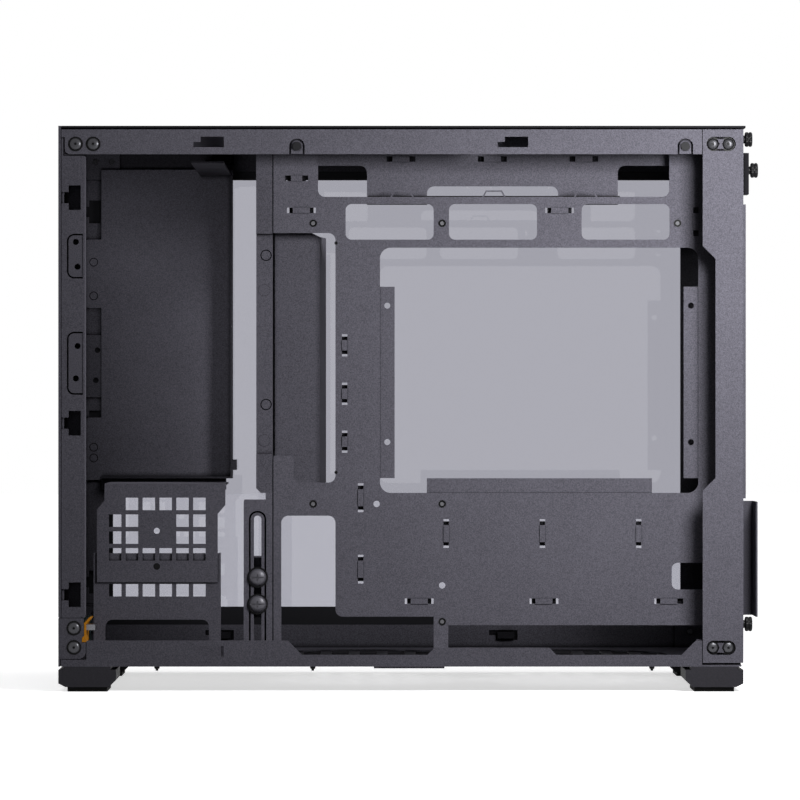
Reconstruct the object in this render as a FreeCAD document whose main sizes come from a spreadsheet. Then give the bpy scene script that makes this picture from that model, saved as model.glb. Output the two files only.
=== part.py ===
import FreeCAD, Part
import os
import Sketcher

# Compact microATX computer case, open at its right side, in millimetres.
# Each body is drawn with x from the front face, y from the middle of the frame and z from the floor.
# The open side is at minus y and the glass at plus y. The placement then brings the origin to the middle.

doc = FreeCAD.newDocument("computer_case")
sheet = doc.addObject("Spreadsheet::Sheet", "Sizes")
pieces = []


class Size:
    """A length that also knows its formula in the sheet's cells."""

    def __init__(self, value, formula):
        self.value = value
        self.formula = formula

    def __add__(self, other):
        return combine(self, "+", as_size(other), self.value + as_size(other).value)

    def __radd__(self, other):
        return as_size(other) + self

    def __sub__(self, other):
        return combine(self, "-", as_size(other), self.value - as_size(other).value)

    def __rsub__(self, other):
        return as_size(other) - self

    def __mul__(self, other):
        return combine(self, "*", as_size(other), self.value * as_size(other).value)

    def __rmul__(self, other):
        return as_size(other) * self

    def __truediv__(self, other):
        return combine(self, "/", as_size(other), self.value / as_size(other).value)

    def __neg__(self):
        return Size(-self.value, f"(-1 * {self.formula})")


def as_size(number):
    return number if isinstance(number, Size) else Size(float(number), repr(float(number)))


def combine(left, sign, right, value):
    return Size(value, f"({left.formula} {sign} {right.formula})")


def size(alias, number):
    """Put one driving dimension in the sheet and give it back as a size."""
    size.row += 1
    sheet.set(f"A{size.row}", alias.replace("_", " "))
    sheet.set(f"B{size.row}", str(number))
    sheet.setAlias(f"B{size.row}", alias)
    return Size(float(number), f"Sizes.{alias}")


size.row = 0

# The whole case
case_length = size("case_length", 381.3)
frame_width = size("frame_width", 198)
case_height = size("case_height", 315)
sheet_metal = size("sheet_metal", 1.0)
seam = size("seam", 0.4)
foot_height = size("foot_height", 14)
rear_overhang = size("rear_overhang", 17.5)
glass_gap = size("glass_gap", 2.2)
glass_thickness = size("glass_thickness", 4)
corner_radius = size("corner_radius", 4)

# Rails and posts
rail_height = size("rail_height", 14.2)
front_post_width = size("front_post_width", 14.7)
rear_post_width = size("rear_post_width", 22.6)
rear_post_waist = size("rear_post_waist", 15.5)
rear_waist_bottom = size("rear_waist_bottom", 119)
rear_waist_top = size("rear_waist_top", 241)
rail_low_step = size("rail_low_step", 8)
rail_mid_step = size("rail_mid_step", 4)
front_plate = size("front_plate", 1.5)
io_panel_top = size("io_panel_top", 40.9)
io_flange_depth = size("io_flange_depth", 15.3)
cover_gap = size("cover_gap", 0.8)
cover_thickness = size("cover_thickness", 1.2)

# Fasteners
screw_shank = size("screw_shank", 1.5)
screw_head = size("screw_head", 3.2)
screw_head_height = size("screw_head_height", 1.6)
screw_clearance = size("screw_clearance", 0.15)
corner_screw_pitch = size("corner_screw_pitch", 9.8)

# Tray and the board that it carries
tray_depth = size("tray_depth", 22)
board_hole_rear = size("board_hole_rear", 12.4)
board_hole_top = size("board_hole_top", 261.6)
standoff_height = size("standoff_height", 6.5)
standoff_radius = size("standoff_radius", 2.8)
standoff_bore = size("standoff_bore", 1.6)
tray_front = size("tray_front", 119.3)

# microATX hole spacings, fixed by the board standard
BOARD_COLUMN_CORNER = 22.86
BOARD_COLUMN_MIDDLE = 154.94
BOARD_COLUMN_FRONT = 227.33
BOARD_ROW_MIDDLE = 157.48
BOARD_ROW_SLOT = 203.20
BOARD_ROW_BOTTOM = 223.52


# Smaller features
stud_radius = size("stud_radius", 1.5)
stud_height = size("stud_height", 3.8)
hook_length = size("hook_length", 17)
hook_height = size("hook_height", 5.9)
hook_foot = size("hook_foot", 4)
hook_front = size("hook_front", 75.1)
hook_pitch = size("hook_pitch", 169.4)
recess_length = size("recess_length", 16.2)
recess_height = size("recess_height", 7.9)
low_start = size("low_start", 135.7)
mid_start = size("mid_start", 209.4)
mid_end = size("mid_end", 273.3)
fan_opening = size("fan_opening", 56)
fan_pitch = size("fan_pitch", 120)
bottom_fan_front = size("bottom_fan_front", 170)
bottom_fan_side = size("bottom_fan_side", 20)
catch_front = size("catch_front", 132.8)
catch_rear = size("catch_rear", 349)
catch_half_width = size("catch_half_width", 4.3)
top_fan_front = size("top_fan_front", 190)
top_fan_side = size("top_fan_side", 20)
vent_slot = size("vent_slot", 4.2)
vent_slot_length = size("vent_slot_length", 20)
vent_pitch = size("vent_pitch", 8.6)
vent_column_pitch = size("vent_column_pitch", 24)
cover_inset = size("cover_inset", 3)
clip_width = size("clip_width", 6.8)
clip_height = size("clip_height", 13.7)
clip_stem = size("clip_stem", 6.3)
pocket_step = size("pocket_step", 2)
pocket_groove = size("pocket_groove", 0.9)
post_depth = size("post_depth", 12)
post_seam = size("post_seam", 1)
island_depth = size("island_depth", 0.4)
psu_cover_skirt = size("psu_cover_skirt", 7)
pocket_hole = size("pocket_hole", 1.7)
button_radius = size("button_radius", 6)
button_travel = size("button_travel", 1.5)
button_gap = size("button_gap", 0.3)
type_c_width = size("type_c_width", 9)
type_c_height = size("type_c_height", 3.2)
usb_width = size("usb_width", 13.2)
usb_height = size("usb_height", 5.8)
audio_radius = size("audio_radius", 3)
board_front = size("board_front", 11.5)
board_thickness = size("board_thickness", 1.6)
port_gap = size("port_gap", 0.2)
switch_height = size("switch_height", 3.5)
film_lip = size("film_lip", 2.4)
io_rim = size("io_rim", 3.2)
slot_length = size("slot_length", 103)
fan_level = size("fan_level", 205)
fan_side = size("fan_side", 38)
grille_slot = size("grille_slot", 5)
grille_length = size("grille_length", 24)
grille_pitch = size("grille_pitch", 8.6)
grille_column = size("grille_column", 28)
notch_front = size("notch_front", 144.3)
notch_rear = size("notch_rear", 341.4)
notch_bottom = size("notch_bottom", 276.4)
gap_front = size("gap_front", 130.6)
gap_rear = size("gap_rear", 154.1)
gap_bottom = size("gap_bottom", 116.1)
gap_top = size("gap_top", 256.1)
ledge_level = size("ledge_level", 131.1)
leg_width = size("leg_width", 4.4)
bay_top = size("bay_top", 97.5)
tray_low_front = size("tray_low_front", 40.9)
tray_low_rear = size("tray_low_rear", 36.1)
foot_front = size("foot_front", 209.2)
foot_rear = size("foot_rear", 217.4)
window_bottom = size("window_bottom", 252.4)
window_height = size("window_height", 20)
window_length = size("window_length", 49.4)
opening_front = size("opening_front", 179.1)
opening_rear = size("opening_rear", 357.7)
opening_bottom = size("opening_bottom", 110.3)
opening_top = size("opening_top", 247.9)
drive_tab = size("drive_tab", 8.2)
drive_tab_bottom = size("drive_tab_bottom", 118.6)
drive_tab_top = size("drive_tab_top", 226)
drive_tab_step = size("drive_tab_step", 1.5)
drive_hole = size("drive_hole", 1.7)
tie_length = size("tie_length", 16.2)
tie_width = size("tie_width", 3.1)
tie_hole = size("tie_hole", 3.3)
tie_rise = size("tie_rise", 0.5)
tie_drop = size("tie_drop", 1.2)
tie_slit = size("tie_slit", 1.3)
drive_tab_lap = size("drive_tab_lap", 3)
bracket_setback = size("bracket_setback", 10)
bracket_low_front = size("bracket_low_front", 171.8)
bracket_low_rear = size("bracket_low_rear", 313)
bracket_cut_front = size("bracket_cut_front", 205.6)
bracket_cut_rear = size("bracket_cut_rear", 279.4)
divider_front = size("divider_front", 109.6)
divider_depth = size("divider_depth", 12)
divider_bottom = size("divider_bottom", 110.3)
divider_recess = size("divider_recess", 3)
boss_radius = size("boss_radius", 3.2)
support_front = size("support_front", 102.6)
support_top = size("support_top", 106.6)
shroud_turn = size("shroud_turn", 3.4)
psu_cover_front = size("psu_cover_front", 13.2)
psu_cover_rear = size("psu_cover_rear", 91.7)
psu_cover_bottom = size("psu_cover_bottom", 116.2)
psu_cover_flange = size("psu_cover_flange", 18)
psu_bracket_depth = size("psu_bracket_depth", 150)
shelf_front = size("shelf_front", 20.2)
shelf_rear = size("shelf_rear", 88)
shelf_top = size("shelf_top", 115.5)
shelf_bottom = size("shelf_bottom", 60.1)
shelf_depth = size("shelf_depth", 60)
shelf_shift = size("shelf_shift", 4.3)
square_hole = size("square_hole", 7)
square_pitch = size("square_pitch", 9.46)
square_front = size("square_front", 26.9)
shelf_base_depth = size("shelf_base_depth", 12)
track_groove = size("track_groove", 1)
track_depth = size("track_depth", 5)
clamp_slot = size("clamp_slot", 4.3)
clamp_screw_head = size("clamp_screw_head", 4.85)
clamp_middle = size("clamp_middle", 110.4)
clamp_bottom = size("clamp_bottom", 40.2)
clamp_top = size("clamp_top", 73.8)
foot_length = size("foot_length", 32.2)
foot_depth = size("foot_depth", 42)
pad_height = size("pad_height", 2.6)
foot_step = size("foot_step", 1.8)
foot_bevel = size("foot_bevel", 4)
slot_lip = size("slot_lip", 11)
slot_cover_width = size("slot_cover_width", 18.4)
thumb_radius = size("thumb_radius", 4.1)
thumb_length = size("thumb_length", 5.4)
catch_plate = size("catch_plate", 3.2)
filter_thickness = size("filter_thickness", 1)
filter_tab = size("filter_tab", 39.3)
filter_tab_middle = size("filter_tab_middle", 195.3)

near = -frame_width / 2
far = frame_width / 2
overall_length = case_length + rear_overhang
floor_top = foot_height + sheet_metal
top_outer = case_height - cover_thickness - cover_gap
top_inner = top_outer - sheet_metal
rear_inner = case_length - sheet_metal
top_rail_bottom = top_outer - rail_height + 0.4
bottom_rail_top = foot_height + rail_height + 0.3
rear_post_front = case_length - rear_post_width
tray_near = near + tray_depth
tray_far = tray_near + sheet_metal
frame_front = front_plate + 0.3

PLANES = {"side": "XZ_Plane", "floor": "XY_Plane", "front": "YZ_Plane"}
AXES = {"x": "X_Axis", "y": "Y_Axis", "z": "Z_Axis"}


def bind(target, path, length):
    """Tie a property of a document object to the sheet."""
    target.setExpression(path, as_size(length).formula)


def place(target, x=0, y=0, z=0):
    """Bring a piece from the drawing frame to the case's own origin."""
    bind(target, "Placement.Base.x", as_size(x) - overall_length / 2)
    bind(target, "Placement.Base.y", as_size(y) - (glass_gap + glass_thickness - screw_head_height) / 2)
    bind(target, "Placement.Base.z", as_size(z))


def new_piece(label):
    body = doc.addObject("PartDesign::Body", label)
    body.Label = label
    place(body)
    pieces.append(body)
    return body


def origin_feature(body, role):
    return [feature for feature in body.Origin.OriginFeatures if feature.Role == role][0]


def new_sketch(body, plane, at):
    """An empty sketch parallel to one origin plane, at a place along that plane's own axis."""
    sketch = body.newObject("Sketcher::SketchObject", "Sketch")
    sketch.AttachmentSupport = [(origin_feature(body, PLANES[plane]), "")]
    sketch.MapMode = "FlatFace"
    bind(sketch, "AttachmentOffset.Base.z", -as_size(at) if plane == "side" else as_size(at))
    return sketch


def dimension(sketch, kind, geometry, point, length):
    length = as_size(length)
    index = sketch.addConstraint(Sketcher.Constraint(kind, -1, 1, geometry, point, length.value))
    bind(sketch, f"Constraints[{index}]", length)


def draw_polygon(sketch, corners):
    points = [FreeCAD.Vector(as_size(a).value, as_size(b).value, 0) for a, b in corners]
    first = sketch.GeometryCount
    count = len(points)
    sketch.addGeometry([Part.LineSegment(points[i], points[(i + 1) % count]) for i in range(count)])
    joined = [Sketcher.Constraint("Coincident", first + i, 2, first + (i + 1) % count, 1) for i in range(count)]
    sketch.addConstraint(joined)
    for i, (a, b) in enumerate(corners):
        dimension(sketch, "DistanceX", first + i, 1, a)
        dimension(sketch, "DistanceY", first + i, 1, b)


def draw_circle(sketch, a, b, radius):
    radius = as_size(radius)
    centre = FreeCAD.Vector(as_size(a).value, as_size(b).value, 0)
    index = sketch.addGeometry(Part.Circle(centre, FreeCAD.Vector(0, 0, 1), radius.value))
    dimension(sketch, "DistanceX", index, 3, a)
    dimension(sketch, "DistanceY", index, 3, b)
    number = sketch.addConstraint(Sketcher.Constraint("Radius", index, radius.value))
    bind(sketch, f"Constraints[{number}]", radius)


def rectangle(a0, b0, a1, b1):
    return [(a0, b0), (a1, b0), (a1, b1), (a0, b1)]


def add(body, plane, at, thickness, *outlines):
    """Raise one or more closed outlines from a plane, towards plus along its axis."""
    sketch = new_sketch(body, plane, at)
    for corners in outlines:
        draw_polygon(sketch, corners)
    pad = body.newObject("PartDesign::Pad", "Pad")
    pad.Profile = sketch
    bind(pad, "Length", thickness)
    pad.Reversed = plane == "side"
    doc.recompute()
    return pad


def add_discs(body, plane, at, thickness, radius, centres):
    """Raise round bosses from a plane, towards plus along its axis."""
    sketch = new_sketch(body, plane, at)
    for a, b in centres:
        draw_circle(sketch, a, b, radius)
    pad = body.newObject("PartDesign::Pad", "Boss")
    pad.Profile = sketch
    bind(pad, "Length", thickness)
    pad.Reversed = plane == "side"
    doc.recompute()
    return pad


def finish_cut(body, plane, sketch, depth):
    before = body.Shape.Volume
    pocket = body.newObject("PartDesign::Pocket", "Pocket")
    pocket.Profile = sketch
    bind(pocket, "Length", depth)
    pocket.Reversed = plane != "side"
    doc.recompute()
    if not body.Shape.Volume < before:
        raise RuntimeError(f"a cut in {body.Label} removes nothing")
    return pocket


def cut(body, plane, at, depth, *outlines):
    """Cut closed outlines into a body, from a plane towards plus along its axis."""
    sketch = new_sketch(body, plane, at)
    for corners in outlines:
        draw_polygon(sketch, corners)
    return finish_cut(body, plane, sketch, depth)


def drill(body, plane, at, depth, radius, centres):
    sketch = new_sketch(body, plane, at)
    for a, b in centres:
        draw_circle(sketch, a, b, radius)
    return finish_cut(body, plane, sketch, depth)


def cut_rings(body, plane, at, depth, outer, inner, centres):
    """Cut round grooves into a body."""
    sketch = new_sketch(body, plane, at)
    for a, b in centres:
        draw_circle(sketch, a, b, outer)
        draw_circle(sketch, a, b, inner)
    return finish_cut(body, plane, sketch, depth)


def repeat(body, features, axis, extent, count, axis_two=None, extent_two=None, count_two=1):
    """Repeat features evenly along one or two axes."""
    pattern = body.newObject("PartDesign::LinearPattern", "Pattern")
    pattern.Originals = features
    pattern.Direction = (origin_feature(body, AXES[axis]), [""])
    bind(pattern, "Length", extent)
    pattern.Occurrences = count
    if axis_two:
        pattern.Direction2 = (origin_feature(body, AXES[axis_two]), [""])
        bind(pattern, "Length2", extent_two)
        pattern.Occurrences2 = count_two
    body.Tip = pattern
    doc.recompute()
    return pattern


def mirror(body, *features):
    """Repeat features on the other side of the case."""
    mirrored = body.newObject("PartDesign::Mirrored", "Mirrored")
    mirrored.Originals = list(features)
    mirrored.MirrorPlane = (origin_feature(body, "XZ_Plane"), [""])
    body.Tip = mirrored
    doc.recompute()
    return mirrored


def round_corners(body, plane, radius, corners):
    """Round the edges that stand on the given corners of an outline."""
    first, second = {"side": ("x", "z"), "floor": ("x", "y"), "front": ("y", "z")}[plane]
    wanted = [(as_size(a).value, as_size(b).value) for a, b in corners]
    names = []
    for number, edge in enumerate(body.Tip.Shape.Edges, 1):
        ends = [vertex.Point for vertex in edge.Vertexes]
        for a, b in wanted:
            if all(abs(getattr(p, first) - a) < 0.01 and abs(getattr(p, second) - b) < 0.01 for p in ends):
                names.append(f"Edge{number}")
    base = body.Tip
    fillet = body.newObject("PartDesign::Fillet", "Fillet")
    fillet.Base = (base, names)
    bind(fillet, "Radius", radius)
    doc.recompute()
    return fillet


def hook_slot(left, bottom, foot_up):
    """The outline of a slot that a side panel's hook enters and then slides along."""
    step = left + hook_foot
    right = left + hook_length
    middle = bottom + hook_height / 2
    top = bottom + hook_height
    if foot_up:
        return [(left, middle), (step, middle), (step, bottom), (right, bottom), (right, top), (left, top)]
    return [(left, bottom), (right, bottom), (right, top), (step, top), (step, middle), (left, middle)]


top_hook_bottom = top_rail_bottom + 3.9
bottom_hook_bottom = foot_height + 5.4

# Corner screws, shared by the rails, the posts and the screws themselves
front_top_screws = [(9.6, top_rail_bottom + 5.7), (9.6 + corner_screw_pitch, top_rail_bottom + 5.7)]
front_low_screws = [(8.7, io_panel_top - 5.5), (8.7, io_panel_top - 16.2)]
recess_front = rear_post_front + 2.1
rear_top_level = top_rail_bottom + 5.7
rear_low_level = foot_height + 10.5
rear_top_screws = [(recess_front + recess_height / 2 - 0.4, rear_top_level),
                   (recess_front + recess_length - recess_height / 2, rear_top_level)]
rear_low_screws = [(recess_front + recess_height / 2 - 0.4, rear_low_level),
                   (recess_front + recess_length - recess_height / 2, rear_low_level)]
shank_hole = screw_shank + screw_clearance


def recess_island(body, screws):
    """Waisted land between the two screw heads of a rear recess."""
    middle = (screws[0][0] + screws[1][0]) / 2
    level = screws[0][1]
    return add(body, "side", near + island_depth, pocket_step - island_depth, [
        (middle - 1.9, level - 2.7), (middle + 1.9, level - 2.7), (middle + 0.65, level),
        (middle + 1.9, level + 2.7),
        (middle - 1.9, level + 2.7), (middle - 0.65, level)])


def make_bottom_panel():
    body = new_piece("bottom_panel")
    start = sheet_metal + 0.5
    rail_end = rear_post_front - seam
    tab = near + sheet_metal
    profile = [(near, foot_height), (far, foot_height), (far, bottom_rail_top),
               (far - sheet_metal, bottom_rail_top),
               (far - sheet_metal, floor_top), (tab, floor_top), (tab, bottom_rail_top),
               (near, bottom_rail_top)]
    add(body, "front", start, rear_inner - start, profile)
    low = bottom_rail_top - rail_low_step
    mid = bottom_rail_top - rail_mid_step
    above = bottom_rail_top + sheet_metal
    low_end = rear_post_front - 11.8
    cut(body, "side", near, sheet_metal, [
        (low_start - rail_low_step, bottom_rail_top), (low_start, low), (mid_start - rail_mid_step, low),
        (mid_start, mid), (mid_end, mid), (mid_end + rail_mid_step, low), (low_end, low),
        (low_end + rail_low_step, bottom_rail_top), (low_end + rail_low_step, above),
        (low_start - rail_low_step, above)])
    front_corner = cut(body, "side", near, sheet_metal,
                       rectangle(start, io_panel_top - 23, io_flange_depth + seam, above))
    rear_corner = cut(body, "side", near, sheet_metal,
                      rectangle(rail_end, floor_top, case_length, above))
    hooks = cut(body, "side", near, sheet_metal, hook_slot(hook_front, bottom_hook_bottom, True))
    front_tab = add(body, "side", tab, sheet_metal,
                    rectangle(3, foot_height, io_flange_depth - 2.7, io_panel_top - 1.4))
    rear_tab = add(body, "side", near + pocket_step, sheet_metal,
                   rectangle(rail_end - 3, foot_height, rear_inner - 0.3, bottom_rail_top + 0.6))
    island = recess_island(body, rear_low_screws)
    holes = drill(body, "side", tab, pocket_step, shank_hole, front_low_screws + rear_low_screws)
    mirror(body, front_corner, rear_corner, hooks, front_tab, rear_tab, island, holes)
    cut(body, "side", far - sheet_metal, sheet_metal,
        hook_slot(hook_front + hook_pitch, bottom_hook_bottom, True))
    drill(body, "floor", foot_height, sheet_metal, fan_opening, [(bottom_fan_front, bottom_fan_side),
                                                                 (bottom_fan_front + fan_pitch,
                                                                  bottom_fan_side)])
    return body


catch_level = top_rail_bottom + 4.4


def make_top_panel():
    body = new_piece("top_panel")
    start = frame_front
    tab = near + sheet_metal
    rail_end = rear_post_front - seam
    profile = [(near, top_rail_bottom), (tab, top_rail_bottom), (tab, top_inner),
               (far - sheet_metal, top_inner),
               (far - sheet_metal, top_rail_bottom), (far, top_rail_bottom), (far, top_outer),
               (near, top_outer)]
    add(body, "front", start, rear_inner - start, profile)
    below = top_rail_bottom - sheet_metal
    front_corner = cut(body, "side", near, sheet_metal,
                       rectangle(start, below, start + 1.8, top_rail_bottom + 9.4))
    rear_corner = cut(body, "side", near, sheet_metal,
                      rectangle(rail_end, below, case_length, top_outer + sheet_metal))
    hooks = cut(body, "side", near, sheet_metal, hook_slot(hook_front, top_hook_bottom, False),
                hook_slot(hook_front + hook_pitch, top_hook_bottom, False))
    rear_tab = add(body, "side", near + pocket_step, sheet_metal,
                   rectangle(rail_end - 3, top_rail_bottom, rear_inner - 0.3, top_outer))
    island = recess_island(body, rear_top_screws)
    holes = drill(body, "side", near, sheet_metal + pocket_step, shank_hole, front_top_screws + rear_top_screws)
    mirror(body, front_corner, rear_corner, hooks, rear_tab, island, holes)
    notches = [rectangle(place_x - catch_half_width, below, place_x + catch_half_width,
                         catch_level + catch_half_width) for place_x in (catch_front, catch_rear)]
    cut(body, "side", near, sheet_metal, *notches)
    round_corners(body, "side", catch_half_width - 0.1, [
        (place_x + sign * catch_half_width, catch_level + catch_half_width)
        for place_x in (catch_front, catch_rear) for sign in (-1, 1)])
    round_corners(body, "side", corner_radius * 0.75, [(start + 1.8, top_rail_bottom)])
    drill(body, "floor", top_inner, sheet_metal, fan_opening,
          [(top_fan_front, top_fan_side), (top_fan_front + fan_pitch, top_fan_side)])
    return body


def make_panel_catches():
    """Round-headed catches that fill the notches of the top rail and hold the side panel."""
    body = new_piece("panel_catches")
    half = catch_half_width - 1.1
    plates = [rectangle(x - half, top_rail_bottom + 0.2, x + half, catch_level + half)
              for x in (catch_front, catch_rear)]
    stems = [rectangle(x - half, top_rail_bottom + 0.2, x + half, top_inner - 0.2)
             for x in (catch_front, catch_rear)]
    add(body, "side", near + sheet_metal, sheet_metal, *stems)
    add(body, "side", near + 0.2, sheet_metal - 0.2, *plates)
    round_corners(body, "side", half - 0.1, [(x + sign * half, catch_level + half)
                                             for x in (catch_front, catch_rear) for sign in (-1, 1)])
    heads = new_piece("catch_heads")
    add_discs(heads, "side", near - 0.8, 1, half - 0.8, [(catch_front, catch_level), (catch_rear, catch_level)])
    return body


vent_rows = 18
vent_columns = 6


def make_top_cover():
    """Thin vented cover that rests on an inset rim over the top."""
    body = new_piece("top_cover")
    start = front_plate + 0.2
    end = case_length + 1.2
    add(body, "floor", top_outer + cover_gap, cover_thickness, rectangle(start, near, end, far))
    rim = [rectangle(start + cover_inset, near + cover_inset, end - cover_inset * 2, near + cover_inset * 3),
           rectangle(start + cover_inset, far - cover_inset * 3, end - cover_inset * 2, far - cover_inset)]
    add(body, "floor", top_outer, cover_gap, *rim)
    first = top_fan_front - fan_opening - vent_slot
    side = top_fan_side - vent_column_pitch * (vent_columns - 1) / 2 - vent_slot_length / 2
    slot = cut(body, "floor", top_outer + cover_gap, cover_thickness,
               rectangle(first, side, first + vent_slot, side + vent_slot_length))
    repeat(body, [slot], "x", fan_pitch + fan_opening * 2, vent_rows,
           "y", vent_column_pitch * (vent_columns - 1), vent_columns)
    return body


def make_front_panel():
    """Flat vented front plate."""
    body = new_piece("front_panel")
    bottom = io_panel_top + seam
    add(body, "front", 0, front_plate, rectangle(near, bottom, far, case_height))
    middle = (bottom + case_height) / 2
    low = middle - vent_pitch * (vent_rows - 1) / 2 - vent_slot / 2
    left = -vent_column_pitch * (vent_columns - 1) / 2 - vent_slot_length / 2
    slot = cut(body, "front", 0, front_plate, rectangle(left, low, left + vent_slot_length, low + vent_slot))
    repeat(body, [slot], "y", vent_column_pitch * (vent_columns - 1), vent_columns,
           "z", vent_pitch * (vent_rows - 1), vent_rows)
    return body


clip_rear = front_post_width - 2.2
clip_levels = [io_panel_top + 13.1, io_panel_top + 108.6, io_panel_top + 234.1]
pocket_front = front_post_width - 9.9
pocket_spans = [(165.3, 200.4), (230.0, 254.9)]
pocket_holes = [(10.7, 192.4), (9.8, 174.4), (9.8, 250.4), (10.7, 236.6)]


def make_front_frame():
    """Folded front frame with clip slots and recessed screw tabs in both posts."""
    body = new_piece("front_frame")
    bottom = io_panel_top + seam
    top = top_rail_bottom - post_seam
    tab = near + sheet_metal
    add(body, "front", frame_front, sheet_metal, rectangle(near, bottom, far, top_rail_bottom + 8.8))
    post = add(body, "side", near, sheet_metal, rectangle(frame_front, bottom, front_post_width, top))
    strip = frame_front + sheet_metal + 0.3
    ear = add(body, "side", tab, sheet_metal,
              [(strip, top - 4), (front_post_width - seam, top - 4),
               (front_post_width - seam, top_rail_bottom + seam),
               (front_top_screws[1][0] + 4.6, top_rail_bottom + seam),
               (front_top_screws[1][0] + 4.6, top_inner - 0.3),
               (strip, top_inner - 0.3)])
    holes = drill(body, "side", tab, sheet_metal, shank_hole, front_top_screws)
    slots = []
    for level in clip_levels:
        bottom_edge = level - clip_height / 2
        top_edge = level + clip_height / 2
        stem_low = level - clip_stem / 2
        stem_high = level + clip_stem / 2
        slots.append([(clip_rear, bottom_edge), (clip_rear, top_edge), (clip_rear - clip_width, top_edge),
                      (clip_rear - clip_width, stem_high), (frame_front, stem_high), (frame_front, stem_low),
                      (clip_rear - clip_width, stem_low), (clip_rear - clip_width, bottom_edge)])
    clips = cut(body, "side", near, sheet_metal, *slots)
    floors = [rectangle(pocket_front - 1, low - 1, front_post_width, high + 1) for low, high in pocket_spans]
    backs = add(body, "side", tab, pocket_step, *floors)
    recess = cut(body, "side", near, pocket_step,
                 *[rectangle(pocket_front, low, front_post_width, high) for low, high in pocket_spans])
    inset = pocket_groove
    islands = add(body, "side", near + 0.3, pocket_step - 0.3,
                  *[rectangle(pocket_front + inset, low + inset, front_post_width, high - inset)
                    for low, high in pocket_spans])
    screws = drill(body, "side", near, sheet_metal + pocket_step, pocket_hole, pocket_holes)
    mirror(body, post, ear, holes, clips, backs, recess, islands, screws)
    corners = [(pocket_front, edge) for span in pocket_spans for edge in span]
    round_corners(body, "side", corner_radius, corners)
    corners = [(pocket_front + inset, edge) for low, high in pocket_spans
               for edge in (low + inset, high - inset)]
    round_corners(body, "side", corner_radius - inset, corners)
    inner = near + post_depth
    add(body, "floor", bottom, top - bottom, [
        (frame_front, inner), (front_post_width - sheet_metal, inner), (front_post_width - sheet_metal, near),
        (front_post_width, near), (front_post_width, inner + sheet_metal), (frame_front, inner + sheet_metal)])
    side = far - 17
    cut(body, "front", frame_front, sheet_metal, rectangle(-side, bottom + 26, side, top - 14))
    round_corners(body, "front", corner_radius, [(sign * side, edge) for sign in (-1, 1)
                                                 for edge in (bottom + 26, top - 14)])
    return body


# Front ports, in a row along the low front piece
port_level = (foot_height + io_panel_top) / 2 + 2.4
button_side = near + 24
type_c_side = button_side + 19
usb_side = type_c_side + 19
audio_side = usb_side + 17


def centred(side, level, width, height, margin=0):
    half = as_size(width) / 2 + margin
    tall = as_size(height) / 2 + margin
    return rectangle(side - half, level - tall, side + half, level + tall)


def make_front_io_panel():
    """Low front piece with side flanges, holes for the ports and two ears for their board."""
    body = new_piece("front_io_panel")
    low = io_panel_top - 22.6
    add(body, "front", 0, sheet_metal, rectangle(near, foot_height, far, io_panel_top))
    flange = add(body, "side", near, sheet_metal, rectangle(0, low, io_flange_depth, io_panel_top))
    holes = drill(body, "side", near, sheet_metal, shank_hole, front_low_screws)
    mirror(body, flange, holes)
    round_corners(body, "side", corner_radius, [(io_flange_depth, low)])
    notch = film_outline(0.2)[:3] + [(io_flange_depth + 0.1, io_panel_top)]
    notch += [(io_flange_depth - 1.1, io_panel_top)] + film_outline(0.2)[7:]
    cut(body, "side", near, sheet_metal, notch)
    ears = [centred(button_side - 12.5, port_level, 3, 10), centred(audio_side + 9.5, port_level, 3, 10)]
    add(body, "front", 0, board_front, *ears)
    cut(body, "front", 0, sheet_metal, centred(type_c_side, port_level, type_c_width, type_c_height, port_gap),
        centred(usb_side, port_level, usb_width, usb_height, port_gap))
    drill(body, "front", 0, sheet_metal, button_radius + button_gap, [(button_side, port_level)])
    drill(body, "front", 0, sheet_metal, audio_radius + port_gap, [(audio_side, port_level)])
    return body


def make_front_board():
    body = new_piece("front_io_board")
    add(body, "front", board_front, board_thickness,
        rectangle(button_side - 15, port_level - 9, audio_side + 12, port_level + 9))
    return body


def make_ports():
    """Metal port shells and the audio jack, from the board to the front face."""
    length = board_front - 0.2
    for label, side, width, height in (("type_c_port", type_c_side, type_c_width, type_c_height),
                                       ("usb_port", usb_side, usb_width, usb_height)):
        body = new_piece(label)
        add(body, "front", 0.2, length, centred(side, port_level, width, height))
        cut(body, "front", 0.2, length - 2, centred(side, port_level, width, height, -0.5))
        add(body, "front", 1.2, length - 2, rectangle(side - width / 2 + 1.4, port_level - 0.5,
                                                      side + width / 2 - 1.4, port_level + 0.5))
    jack = new_piece("audio_jack")
    add_discs(jack, "front", 0.2, length, audio_radius, [(audio_side, port_level)])
    drill(jack, "front", 0.2, length - 2, audio_radius - 1.2, [(audio_side, port_level)])


def make_power_button():
    """Round cap on a stem, kept behind the plate by its collar, with its switch on the board."""
    body = new_piece("power_button")
    add_discs(body, "front", 0, sheet_metal + button_gap, button_radius, [(button_side, port_level)])
    add_discs(body, "front", sheet_metal + button_gap, 1, button_radius + 1.2, [(button_side, port_level)])
    stem_end = board_front - switch_height - button_travel - button_gap
    stem_start = sheet_metal + button_gap + 1
    add_discs(body, "front", stem_start, stem_end - stem_start, 2, [(button_side, port_level)])
    switch = new_piece("power_switch")
    add(switch, "front", board_front - switch_height, switch_height, centred(button_side, port_level, 6, 6))


def film_outline(margin):
    """Side outline of the folded film: a foot, an upright and a lip that leans back."""
    front = io_flange_depth - 0.9
    rear = io_flange_depth + 0.1
    low = io_panel_top - 13.3
    foot = front - 1.2
    return [(foot - margin, low - margin), (rear, low - margin), (rear, low + 9.8),
            (rear + film_lip, low + 12.6),
            (rear + film_lip, low + 13.5), (rear + film_lip - 0.9, low + 13.5), (front - margin, low + 10.6),
            (front - margin, low + 3.6), (foot - margin, low + 2.4)]


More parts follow.
